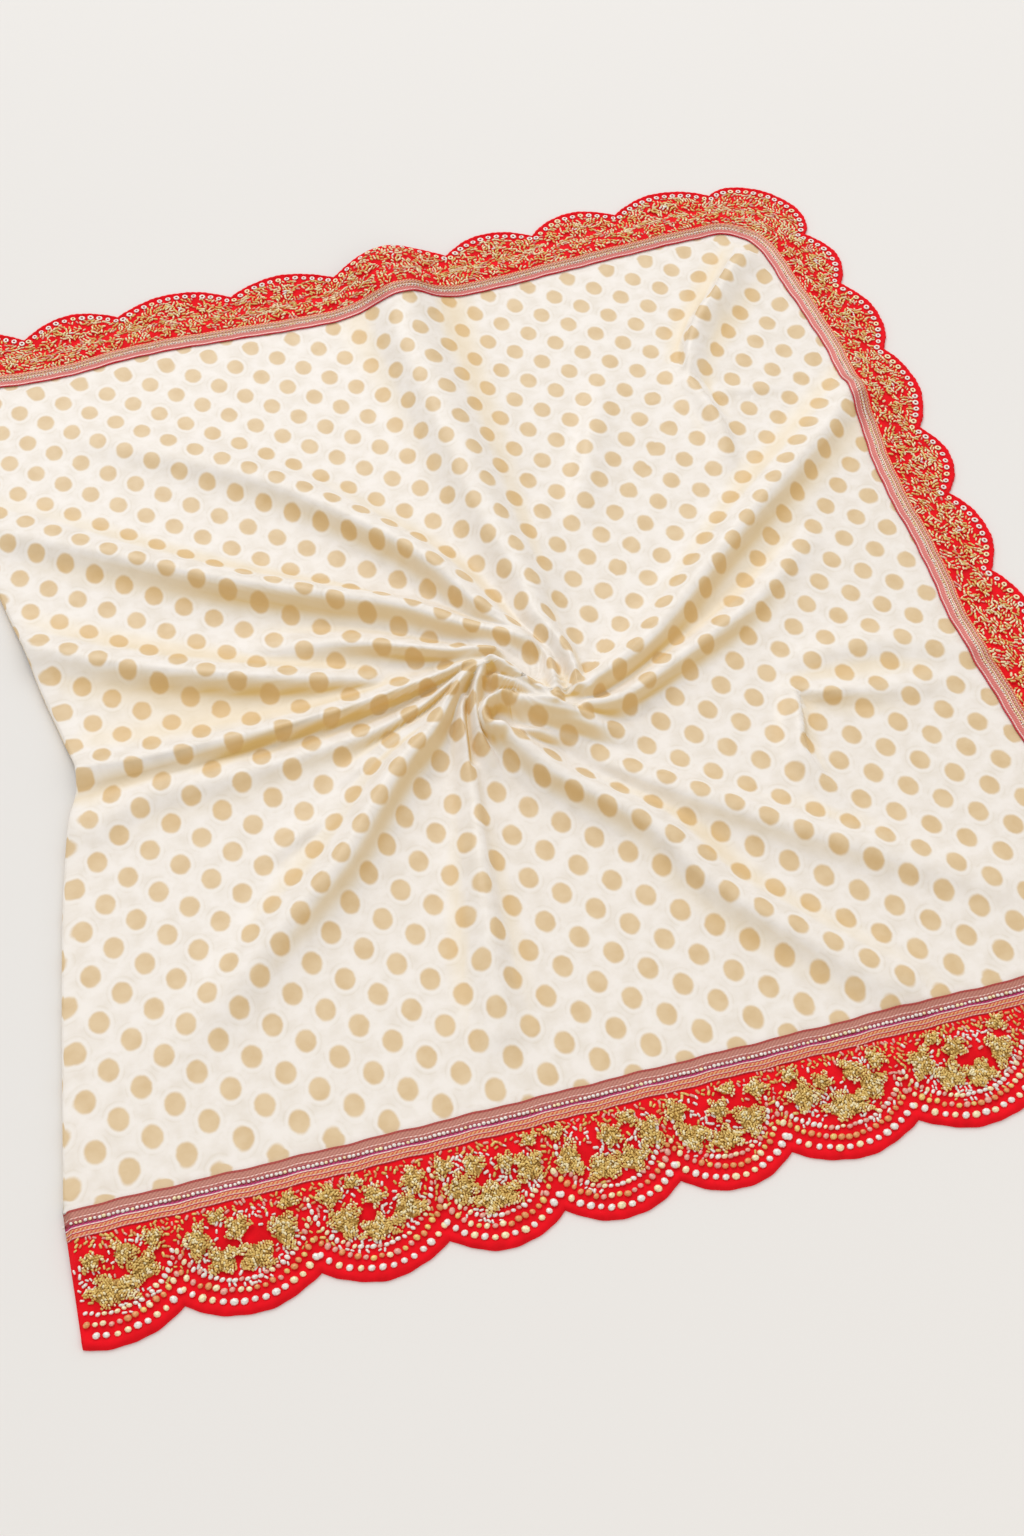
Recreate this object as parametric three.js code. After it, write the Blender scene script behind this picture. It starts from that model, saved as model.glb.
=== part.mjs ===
// A silk saree laid out flat with its decorated end on top, pinched and twisted in the middle.
// Millimetres. X runs along the near border, Y towards the far border and Z up from the table.
import * as THREE from 'three';

// the outlines below are drawn round the middle of the view; this brings the origin to the
// middle of the whole saree's underside
const toOrigin = [-6.65, 0.5, 0];

// cloth walls and the gaps between pieces
const silkWall = 1.5;
const borderWall = 2.4;
const rimSwell = 1.1;
const braidWall = 1;
const gap = 0.3;

// the rest of the saree's length, folded flat under the decorated end
const layers = 3;
const layersHigh = 6;
const layerStep = 3.5;
const layerRound = 0.8;
const underBorder = 10;
const leftInset = 22;
const layerColumns = 12;
const layerColumnsOnFold = 16;

// the point that every fold runs to
const pinch = [3, -76];
const moundHigh = 15;
const moundWide = 62;
// the pinch is twisted: how far in degrees, and the distance at which half of it is gone
const twist = 115;
const twistReach = 60;
const twistFade = 1.9;

// where the silk meets each border, corner to corner, as smooth lines through (x, y)
const nearLine = [[-456, -458], [-230, -459], [0, -458], [225, -457], [425, -456]];
const endLine = [
  [425, -456], [416, -330], [409, -200], [403, -100], [407, -10],
  [406, 90], [414, 185], [419, 280], [411, 380], [399, 476],
];
const farLine = [
  [399, 476], [290, 473], [190, 463], [90, 452], [20, 450], [-60, 446],
  [-150, 449], [-250, 450], [-340, 439], [-410, 442], [-485, 446],
];
// the left side is a soft fold, drawn in at the sharp crease that reaches it
const foldLine = [
  [-485, 446], [-456, 300], [-428, 150], [-417, 95], [-408, 40], [-397, -15],
  [-390, -62], [-404, -105], [-419, -180], [-432, -270], [-444, -363], [-456, -458],
];

// each border: its depth at the cusps and tips of the scallops, how far out it
// leaves the layers and how far out it meets the table, the braid's width,
// and the cusps as distances along its line
const borders = {
  near: {
    line: nearLine, cuspDepth: 91, tipDepth: 109, offLayers: 38, onTable: 72, braid: 22,
    cusps: [-24, 76, 177, 273, 362, 453, 542, 645, 748, 851],
  },
  end: {
    line: endLine, cuspDepth: 60, tipDepth: 78, offLayers: 20, onTable: 48, braid: 16,
    cusps: [10, 114, 216, 320, 422, 521, 618, 728, 828, 924],
  },
  far: {
    line: farLine, cuspDepth: 72, tipDepth: 93, offLayers: 24, onTable: 56, braid: 17,
    cusps: [12, 118, 213, 314, 438, 552, 662, 771, 892],
  },
};
const cornerBulge = 40;
const stepsPerScallop = 6;
const stepsPerCorner = 4;
const stepsOnRoll = 2;
const stepsOnFold = 26;
const borderRows = [0.48, 0.72, 0.89, 1];

// rings of the silk, as fractions of the way from the pinch to its edge, and the last ones
// by their distance from the edge
const rings = [0.02, 0.05, 0.085, 0.125, 0.17, 0.225, 0.29, 0.36, 0.44, 0.52, 0.6, 0.69, 0.78, 0.87, 0.94];
const edgeRings = [12, 4, 0];

// the folds, one row each: a curve from the pinch through a middle point to its end,
// the rise at those three points, the width of its steep side at both ends, the width
// of its gentle side at both ends, and 1 where the steep side lies left of the curve
// from x, y,   via x, y,    to x, y,      rise 0, 1, 2,   steep 0, 1, gentle 0, 1, side
const folds = [
  [34, -50,    -32, 88,      -311, 345,    24, 21, 3,      18, 34,     16, 40,      1],
  [30, -36,    -75, 66,      -425, 250,    26, 25, 7,      15, 28,     13, 30,      1],
  [-14, -36,   -89, 7,       -232, 43,     18, 12, 2,      10, 16,     9, 20,       1],
  [-22, -38,   -157, -13,    -405, 90,     22, 17, 7,      12, 26,     10, 26,      1],
  [-24, -41,   -158, -60,    -392, -62,    22, 17, 13,     9, 17,      9, 26,       1],
  [-28, -42,   -124, -68,    -245, -100,   22, 13, 2,      9, 20,      9, 18,       1],
  [-30, -46,   -154, -159,   -335, -328,   26, 25, 3,      16, 34,     11, 30,      1],
  [-22, -50,   -56, -110,    -98, -376,    26, 17, 2,      10, 26,     8, 26,       1],
  [-8, -52,    -44, -140,    -66, -280,    24, 12, 1,      8, 18,      7, 16,       1],
  [-26, -112,  64, -226,     238, -448,    24, 19, 4,      14, 34,     13, 32,      -1],
  [-18, -92,   121, -213,    325, -375,    24, 19, 3,      18, 38,     13, 36,      -1],
  [36, -104,   160, -66,     325, 48,      22, 14, 2,      14, 30,     11, 26,      -1],
  [38, -100,   177, 16,      418, 204,     24, 22, 9,      15, 36,     13, 34,      -1],
  [30, -92,    33, 99,       16, 486,      26, 23, 24,     18, 46,     13, 32,      1],
  [14, -60,    66, 60,       84, 190,      20, 9, 1,       9, 20,      9, 18,       1],
  [224, 222,   267, 324,     342, 440,     2, 7, 4,        18, 26,     14, 24,      -1],
  [232, -133,  300, -150,    372, -160,    7, 9, 1,        14, 18,     12, 18,      -1],
  [236, -134,  222, -200,    240, -285,    8, 8, 1,        14, 18,     12, 20,      1],
];
const foldSteps = 14;
const sharing = 3;

const ease = (t) => {
  const s = Math.min(Math.max(t, 0), 1);
  return s * s * (3 - 2 * s);
};
const mix = (a, b, t) => a + (b - a) * t;
const mixPoint = (a, b, t) => [mix(a[0], b[0], t), mix(a[1], b[1], t)];

// a smooth line that can be read by its distance from the start
function smoothLine(points) {
  const knots = points.map(([x, y]) => new THREE.Vector3(x, y, 0));
  const curve = new THREE.CatmullRomCurve3(knots, false, 'catmullrom', 0.5);
  const length = curve.getLength();
  const at = (s) => {
    const inside = Math.min(Math.max(s / length, 0), 1);
    const p = curve.getPointAt(inside);
    const t = curve.getTangentAt(inside);
    const past = s - inside * length;
    return { x: p.x + t.x * past, y: p.y + t.y * past, nx: t.y, ny: -t.x };
  };
  return { length, at };
}

// each fold as a short chain of points with its rise and widths at each
const foldPaths = folds.map((row) => {
  const [x0, y0, x1, y1, x2, y2, rise0, rise1, rise2, steep0, steep1, gentle0, gentle1, side] = row;
  const near = Math.hypot(x1 - x0, y1 - y0);
  const middle = near / (near + Math.hypot(x2 - x1, y2 - y1));
  const through = (a, b, c, t) => {
    const pull = (b - a * (1 - middle) ** 2 - c * middle ** 2) / (2 * middle * (1 - middle));
    return a * (1 - t) ** 2 + 2 * pull * t * (1 - t) + c * t ** 2;
  };
  const path = [];
  for (let i = 0; i <= foldSteps; i += 1) {
    const t = i / foldSteps;
    const early = mix(rise0, rise1, ease(t / middle));
    const late = mix(rise1, rise2, ease((t - middle) / (1 - middle)));
    const rise = t < middle ? early : late;
    path.push({
      x: through(x0, x1, x2, t), y: through(y0, y1, y2, t), rise,
      steep: mix(steep0, steep1, t), gentle: mix(gentle0, gentle1, t), side,
    });
  }
  return path;
});

// how high one fold lifts the cloth at (x, y)
function liftOf(path, x, y) {
  let nearest = Infinity;
  let lift = 0;
  for (let i = 0; i < path.length - 1; i += 1) {
    const a = path[i];
    const b = path[i + 1];
    const dx = b.x - a.x;
    const dy = b.y - a.y;
    const long = dx * dx + dy * dy;
    const t = Math.min(Math.max(((x - a.x) * dx + (y - a.y) * dy) / long, 0), 1);
    const ox = x - a.x - dx * t;
    const oy = y - a.y - dy * t;
    const away = Math.hypot(ox, oy);
    if (away < nearest) {
      nearest = away;
      const across = (dx * oy - dy * ox) / Math.sqrt(long) * a.side;
      const steepShare = away > 1e-6 ? 0.5 + 0.5 * across / away : 0.5;
      const wide = mix(mix(a.gentle, b.gentle, t), mix(a.steep, b.steep, t), steepShare);
      lift = mix(a.rise, b.rise, t) / (1 + (away / wide) ** 2) ** 1.6;
    }
  }
  return lift;
}

// the lift of all folds together: the highest one rules, and its neighbours add a little
function foldLift(x, y) {
  const total = foldPaths.reduce((sum, path) => sum + liftOf(path, x, y) ** sharing, 0);
  const fromPinch = Math.hypot(x - pinch[0], y - pinch[1]);
  const mound = moundHigh * Math.exp(-((fromPinch / moundWide) ** 2));
  return total ** (1 / sharing) + mound;
}

const lines = {
  near: smoothLine(nearLine), end: smoothLine(endLine), far: smoothLine(farLine), fold: smoothLine(foldLine),
};

// how far (x, y) lies in from the left fold
const foldMarks = 90;
const markAt = (_, i) => lines.fold.at(lines.fold.length * i / foldMarks);
const foldRun = Array.from({ length: foldMarks + 1 }, markAt);
function fromFold(x, y) {
  let i = 0;
  while (i < foldMarks - 1 && y < foldRun[i + 1].y) i += 1;
  const [a, b] = [foldRun[i], foldRun[i + 1]];
  return x - mix(a.x, b.x, (y - a.y) / (b.y - a.y));
}

// the height of what the cloth lies on: the layers, and the table past their edge
const rollHigh = 0.75;
const rollWide = 5;
const rolledEnd = 8;
function bedHeight(x, y, out, border) {
  const down = border ? ease((out - border.offLayers) / (border.onTable - border.offLayers)) : 0;
  const roll = rollHigh * (1 - ease(fromFold(x, y) / rollWide));
  return (layersHigh + gap) * (1 - down) * (1 - roll);
}

// distances along each line where columns of the mesh stand
function columnsOf(name) {
  const border = borders[name];
  const { length } = lines[name];
  const columns = [];
  const inside = border.cusps.filter((s) => s > 0 && s < length);
  const cornerStops = name === 'end' ? [0, length] : [name === 'near' ? length : 0];
  const stops = [0, ...inside, length];
  if (name === 'near') stops.splice(1, 0, rolledEnd);
  if (name === 'far') stops.splice(-1, 0, length - rolledEnd);
  for (let k = 0; k < stops.length - 1; k += 1) {
    const corner = cornerStops.includes(stops[k]) || cornerStops.includes(stops[k + 1]);
    let steps = corner ? stepsPerCorner : stepsPerScallop;
    if (stops[k + 1] - stops[k] <= rolledEnd) steps = stepsOnRoll;
    for (let i = 0; i < steps; i += 1) columns.push(mix(stops[k], stops[k + 1], i / steps));
  }
  columns.push(length);
  return columns;
}
const columns = { near: columnsOf('near'), end: columnsOf('end'), far: columnsOf('far') };

// the silk's edge stands at every second column, and the borders follow its straight runs
function seamPoint(name, i) {
  const here = lines[name].at(columns[name][i]);
  if (i % 2 === 0) return here;
  const before = lines[name].at(columns[name][i - 1]);
  const after = lines[name].at(columns[name][i + 1]);
  const t = (columns[name][i] - columns[name][i - 1]) / (columns[name][i + 1] - columns[name][i - 1]);
  return { x: mix(before.x, after.x, t), y: mix(before.y, after.y, t), nx: here.nx, ny: here.ny };
}

// a corner where two borders meet on a slanting seam, with a round lobe outside it
function cornerOf(first, second) {
  const a = lines[first];
  const b = lines[second];
  const lastCusp = borders[first].cusps.filter((s) => s < a.length).at(-1);
  const nextCusp = borders[second].cusps.find((s) => s > 0);
  const p = a.at(lastCusp);
  const q = b.at(nextCusp);
  const from = [p.x + p.nx * borders[first].cuspDepth, p.y + p.ny * borders[first].cuspDepth];
  const to = [q.x + q.nx * borders[second].cuspDepth, q.y + q.ny * borders[second].cuspDepth];
  const chord = Math.hypot(to[0] - from[0], to[1] - from[1]);
  const outward = [(to[1] - from[1]) / chord, -(to[0] - from[0]) / chord];
  const at = (share) => {
    const along = (1 - Math.cos(Math.PI * share)) / 2;
    const bulge = cornerBulge * Math.sin(Math.PI * share);
    const [x, y] = mixPoint(from, to, along);
    return [x + outward[0] * bulge, y + outward[1] * bulge];
  };
  return { lastCusp, nextCusp, at };
}
const corners = { near: cornerOf('near', 'end'), end: cornerOf('end', 'far') };

// the scalloped outer edge of a border at a distance along its line
function edgePoint(name, s) {
  const border = borders[name];
  const line = lines[name];
  const after = { near: corners.near, end: corners.end }[name];
  const before = { end: corners.near, far: corners.end }[name];
  if (after && s > after.lastCusp) {
    return after.at(0.5 * (s - after.lastCusp) / (line.length - after.lastCusp));
  }
  if (before && s < before.nextCusp) return before.at(0.5 + 0.5 * s / before.nextCusp);
  const next = Math.max(border.cusps.findIndex((c) => c >= s), 1);
  const [sa, sb] = [border.cusps[next - 1], border.cusps[next]];
  const t = (s - sa) / (sb - sa);
  const [a, b] = [line.at(sa), line.at(sb)];
  const here = line.at(s);
  const out = (border.tipDepth - border.cuspDepth) * 4 * t * (1 - t);
  return [
    mix(a.x + a.nx * border.cuspDepth, b.x + b.nx * border.cuspDepth, t) + here.nx * out,
    mix(a.y + a.ny * border.cuspDepth, b.y + b.ny * border.cuspDepth, t) + here.ny * out,
  ];
}

// moves the points of a slanting corner seam off it, half the gap to each side
function offSeam(points, towards) {
  const [a, b] = [points[0], points.at(-1)];
  const long = Math.hypot(b[0] - a[0], b[1] - a[1]);
  const n = [-(b[1] - a[1]) / long, (b[0] - a[0]) / long];
  const side = Math.sign((towards[0] - a[0]) * n[0] + (towards[1] - a[1]) * n[1]);
  return points.map(([x, y]) => [x + n[0] * side * gap / 2, y + n[1] * side * gap / 2]);
}

// a wall from a grid of upper and lower points; a closed grid joins its last column to its first,
// and each quad is split along the diagonal that keeps nearer to the true height where it is known
function wallGeometry(upper, lower, closed, centre, heightAt) {
  const [wide, high] = [upper.length, upper[0].length];
  const spots = [];
  const faces = [];
  const put = (grid) => grid.forEach((column) => column.forEach((p) => spots.push(...p)));
  put(upper);
  put(lower);
  const index = (i, j, under) => (under ? wide * high : 0) + (i % wide) * high + j;
  const last = closed ? wide : wide - 1;
  for (let i = 0; i < last; i += 1) {
    for (let j = 0; j < high - 1; j += 1) {
      const [a, b, c, d] = [index(i, j), index(i + 1, j), index(i + 1, j + 1), index(i, j + 1)];
      const [e, f, g, h] = [a, b, c, d].map((k) => k + wide * high);
      const middle = (k, l, axis) => (spots[3 * k + axis] + spots[3 * l + axis]) / 2;
      const [x, y] = [0, 1].map((axis) => (middle(a, c, axis) + middle(b, d, axis)) / 2);
      const truth = heightAt ? heightAt(x, y) : 0;
      if (Math.abs(middle(a, c, 2) - truth) > Math.abs(middle(b, d, 2) - truth)) {
        faces.push(a, d, b, b, d, c, e, f, h, f, g, h);
      } else {
        faces.push(a, d, c, a, c, b, e, g, h, e, f, g);
      }
    }
  }
  const rim = (a, b) => faces.push(a, b, b + wide * high, a, b + wide * high, a + wide * high);
  for (let i = 0; i < last; i += 1) {
    rim(index(i + 1, high - 1), index(i, high - 1));
    if (!centre) rim(index(i, 0), index(i + 1, 0));
  }
  if (!closed) {
    for (let j = 0; j < high - 1; j += 1) {
      rim(index(0, j + 1), index(0, j));
      rim(index(wide - 1, j), index(wide - 1, j + 1));
    }
  }
  if (centre) {
    const top = spots.length / 3;
    spots.push(...centre[0], ...centre[1]);
    for (let i = 0; i < last; i += 1) {
      faces.push(top, index(i, 0), index(i + 1, 0));
      faces.push(top + 1, index(i + 1, 0, true), index(i, 0, true));
    }
  }
  const geometry = new THREE.BufferGeometry();
  geometry.setAttribute('position', new THREE.Float32BufferAttribute(spots, 3));
  geometry.setIndex(faces);
  geometry.computeVertexNormals();
  return geometry;
}

function pieceOf(name, geometry, color, roughness, metalness) {
  const mesh = new THREE.Mesh(geometry, new THREE.MeshStandardMaterial({ color, roughness, metalness }));
  mesh.name = name;
  return mesh;
}

// a point on the way from the pinch to a point of the edge, turned with the twist as the folds are
function twisted([ex, ey], reach, ring) {
  const turn = THREE.MathUtils.degToRad(twist) / (1 + (ring * reach / twistReach) ** twistFade) * (1 - ring);
  const [dx, dy] = [(ex - pinch[0]) * ring, (ey - pinch[1]) * ring];
  return [
    pinch[0] + dx * Math.cos(turn) + dy * Math.sin(turn),
    pinch[1] - dx * Math.sin(turn) + dy * Math.cos(turn),
  ];
}

// the silk: rings round the pinch out to the seams and the left fold
function silkPanel() {
  const edge = [];
  for (const name of ['near', 'end', 'far']) {
    for (let i = 0; i < columns[name].length - 1; i += 2) {
      const p = seamPoint(name, i);
      const corner = i === 0 && name !== 'near';
      edge.push([p.x - p.nx * gap / 2 - (corner ? gap / 2 : 0), p.y - p.ny * gap / 2]);
    }
  }
  for (let i = 0; i < stepsOnFold; i += 1) {
    const p = lines.fold.at(lines.fold.length * i / stepsOnFold);
    edge.push([p.x, p.y - (i === 0 ? gap / 2 : 0)]);
  }
  edge[0][1] += gap / 2;
  const upper = [];
  const lower = [];
  const slopeStep = 2;
  const surface = (x, y) => {
    const bed = bedHeight(x, y, 0, null);
    const lift = foldLift(x, y);
    const sx = (foldLift(x + slopeStep, y) - foldLift(x - slopeStep, y)) / (2 * slopeStep);
    const sy = (foldLift(x, y + slopeStep) - foldLift(x, y - slopeStep)) / (2 * slopeStep);
    const steep = Math.min(Math.hypot(1, sx, sy), 1.5);
    const bottom = bed + lift;
    return [bottom + silkWall * steep, bottom];
  };
  for (const [ex, ey] of edge) {
    const up = [];
    const down = [];
    const reach = Math.hypot(ex - pinch[0], ey - pinch[1]);
    for (const ring of [...rings, ...edgeRings.map((inside) => 1 - inside / reach)]) {
      const [x, y] = twisted([ex, ey], reach, ring);
      const [top, bottom] = surface(x, y);
      up.push([x, y, top]);
      down.push([x, y, bottom]);
    }
    upper.push(up);
    lower.push(down);
  }
  const [top, bottom] = surface(...pinch);
  const centre = [[...pinch, top], [...pinch, bottom]];
  const wall = wallGeometry(upper, lower, true, centre, (x, y) => surface(x, y)[0]);
  return pieceOf('silk_panel', wall, 0xf3eadb, 0.42, 0);
}

// a border's columns of plan points: the seam, the braid's outer edge, and on to the scallops
function borderPlan(name) {
  const border = borders[name];
  const plan = columns[name].map((s, i) => {
    const p = seamPoint(name, i);
    const inner = [p.x + p.nx * gap / 2, p.y + p.ny * gap / 2];
    const outer = edgePoint(name, s);
    const long = Math.hypot(outer[0] - inner[0], outer[1] - inner[1]);
    const shares = [0, border.braid / long, ...borderRows];
    return shares.map((share) => mixPoint(inner, outer, share));
  });
  if (name !== 'far') plan[plan.length - 1] = offSeam(plan.at(-1), plan.at(-2)[0]);
  if (name !== 'near') plan[0] = offSeam(plan[0], plan[1][0]);
  return plan;
}

function borderAndBraid(name) {
  const border = borders[name];
  const plan = borderPlan(name);
  const upper = [];
  const lower = [];
  for (const column of plan) {
    const up = [];
    const down = [];
    column.forEach(([x, y], j) => {
      const out = Math.hypot(x - column[0][0], y - column[0][1]);
      const swell = j >= column.length - 2 ? rimSwell : 0;
      const bottom = bedHeight(x, y, out, border) + foldLift(x, y);
      down.push([x, y, bottom]);
      up.push([x, y, bottom + borderWall + swell]);
    });
    upper.push(up);
    lower.push(down);
  }
  const raise = (rise) => upper.map((column) => column.slice(0, 2).map(([x, y, z]) => [x, y, z + rise]));
  const braid = wallGeometry(raise(gap + braidWall), raise(gap), false);
  return [
    pieceOf(`border_${name}`, wallGeometry(upper, lower, false), 0xc8242c, 0.8, 0),
    pieceOf(`braid_${name}`, braid, 0xc98f6a, 0.55, 0.3),
  ];
}

// the folded length: layers stepped in towards the top at the edges, on one flat underside
function foldedLength() {
  const ring = [];
  for (const name of ['near', 'end', 'far']) {
    const out = borders[name].offLayers - underBorder;
    const { length } = lines[name];
    for (let i = 0; i <= layerColumns; i += 1) {
      const start = name === 'near' ? leftInset : 0;
      const end = name === 'far' ? length - leftInset : length;
      const p = lines[name].at(mix(start, end, i / layerColumns));
      ring.push([p.x + p.nx * out, p.y + p.ny * out]);
    }
  }
  for (let i = 1; i < layerColumnsOnFold; i += 1) {
    const p = lines.fold.at(lines.fold.length * i / layerColumnsOnFold);
    ring.push([p.x + leftInset, p.y]);
  }
  const inward = ([x, y], by) => {
    const long = Math.hypot(x, y);
    return [x - (x / long) * by, y - (y / long) * by];
  };
  const levels = [];
  const layerHigh = layersHigh / layers;
  for (let k = 0; k < layers; k += 1) {
    const inset = layerStep * k;
    levels.push([inset + layerRound, layerHigh * k], [inset, layerHigh * (k + 0.5)]);
    levels.push([inset + layerRound, layerHigh * (k + 1)]);
  }
  const spots = [];
  levels.forEach(([inset, z]) => ring.forEach((p) => spots.push(...inward(p, inset), z)));
  const faces = [];
  const around = ring.length;
  for (let k = 0; k < levels.length - 1; k += 1) {
    for (let i = 0; i < around; i += 1) {
      const j = (i + 1) % around;
      const [a, b, c, d] = [k * around + i, k * around + j, (k + 1) * around + j, (k + 1) * around + i];
      faces.push(a, b, c, a, c, d);
    }
  }
  const outline = ring.map((p) => new THREE.Vector2(...p));
  THREE.ShapeUtils.triangulateShape(outline, []).forEach(([a, b, c]) => {
    const top = (levels.length - 1) * around;
    faces.push(top + a, top + b, top + c, a, c, b);
  });
  const geometry = new THREE.BufferGeometry();
  geometry.setAttribute('position', new THREE.Float32BufferAttribute(spots, 3));
  geometry.setIndex(faces);
  geometry.computeVertexNormals();
  return pieceOf('folded_length', geometry, 0xefe4d2, 0.5, 0);
}

const saree = new THREE.Group();
saree.position.set(...toOrigin);
saree.add(silkPanel(), foldedLength());
for (const name of Object.keys(borders)) saree.add(...borderAndBraid(name));

export default saree;
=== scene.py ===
import math
import bpy
import numpy as np
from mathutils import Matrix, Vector


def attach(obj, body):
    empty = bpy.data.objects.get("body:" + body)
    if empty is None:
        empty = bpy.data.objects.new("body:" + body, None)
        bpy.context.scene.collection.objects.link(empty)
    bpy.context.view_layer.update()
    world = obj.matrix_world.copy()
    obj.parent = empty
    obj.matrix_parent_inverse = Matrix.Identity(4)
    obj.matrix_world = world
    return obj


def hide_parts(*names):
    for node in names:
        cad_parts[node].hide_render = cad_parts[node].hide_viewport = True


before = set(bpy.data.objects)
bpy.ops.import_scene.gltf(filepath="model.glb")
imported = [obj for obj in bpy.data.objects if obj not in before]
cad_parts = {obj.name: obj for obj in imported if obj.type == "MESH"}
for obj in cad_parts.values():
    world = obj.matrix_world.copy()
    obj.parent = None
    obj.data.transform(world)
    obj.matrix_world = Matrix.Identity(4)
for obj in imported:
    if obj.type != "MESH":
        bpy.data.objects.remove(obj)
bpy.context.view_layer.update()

mm = 0.001
random = np.random.default_rng(7)

# the lay of the cloth, in millimetres round the middle of the view: the curves and depths that
# the part's source holds, with the far corner's seam rounded as the braid rounds it
lay = {
    "toOrigin": (-6.65, 0.5),
    "pinch": (3.0, -76.0),
    "moundHigh": 15.0, "moundWide": 62.0,
    "gathers": [(-28.0, -46.0), (36.0, -100.0)], "gatherHigh": 9.0, "gatherWide": 26.0,
    "twist": 115.0, "twistReach": 60.0, "twistFade": 1.9,
    "layersHigh": 6.0, "gap": 0.3, "silkWall": 1.5, "borderWall": 2.4, "sharing": 3,
    "rollHigh": 0.75, "rollWide": 5.0, "cornerBulge": 40.0, "cornerReach": 70.0,
    "near": [(-456, -458), (-230, -459), (0, -458), (225, -457), (425, -456)],
    "end": [(425, -456), (416, -330), (409, -200), (403, -100), (407, -10),
            (406, 90), (414, 185), (419, 280), (411, 380), (405, 438), (399, 457), (389, 468)],
    "far": [(389, 468), (377, 476), (360, 478), (290, 473), (190, 463), (90, 452), (20, 450),
            (-60, 446), (-150, 449), (-250, 450), (-340, 439), (-410, 442), (-485, 446)],
    "fold": [(-485, 446), (-456, 300), (-428, 150), (-417, 95), (-408, 40), (-397, -15),
             (-390, -62), (-404, -105), (-419, -180), (-432, -270), (-444, -363), (-456, -458)],
}

# each border: depth at cusps and tips of the scallops, how far out it leaves the layers
# and meets the table, the braid's width, and the cusps as distances along its line
borders = {
    "near": {"cuspDepth": 91, "tipDepth": 109, "offLayers": 38, "onTable": 72, "braid": 22,
             "cusps": [-24, 76, 177, 273, 362, 453, 542, 645, 748, 851]},
    "end": {"cuspDepth": 60, "tipDepth": 78, "offLayers": 20, "onTable": 48, "braid": 16,
            "cusps": [10, 114, 216, 320, 422, 521, 618, 728, 828, 905]},
    "far": {"cuspDepth": 72, "tipDepth": 93, "offLayers": 24, "onTable": 56, "braid": 17,
            "cusps": [20, 111, 206, 307, 431, 545, 655, 764, 885]},
}

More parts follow.
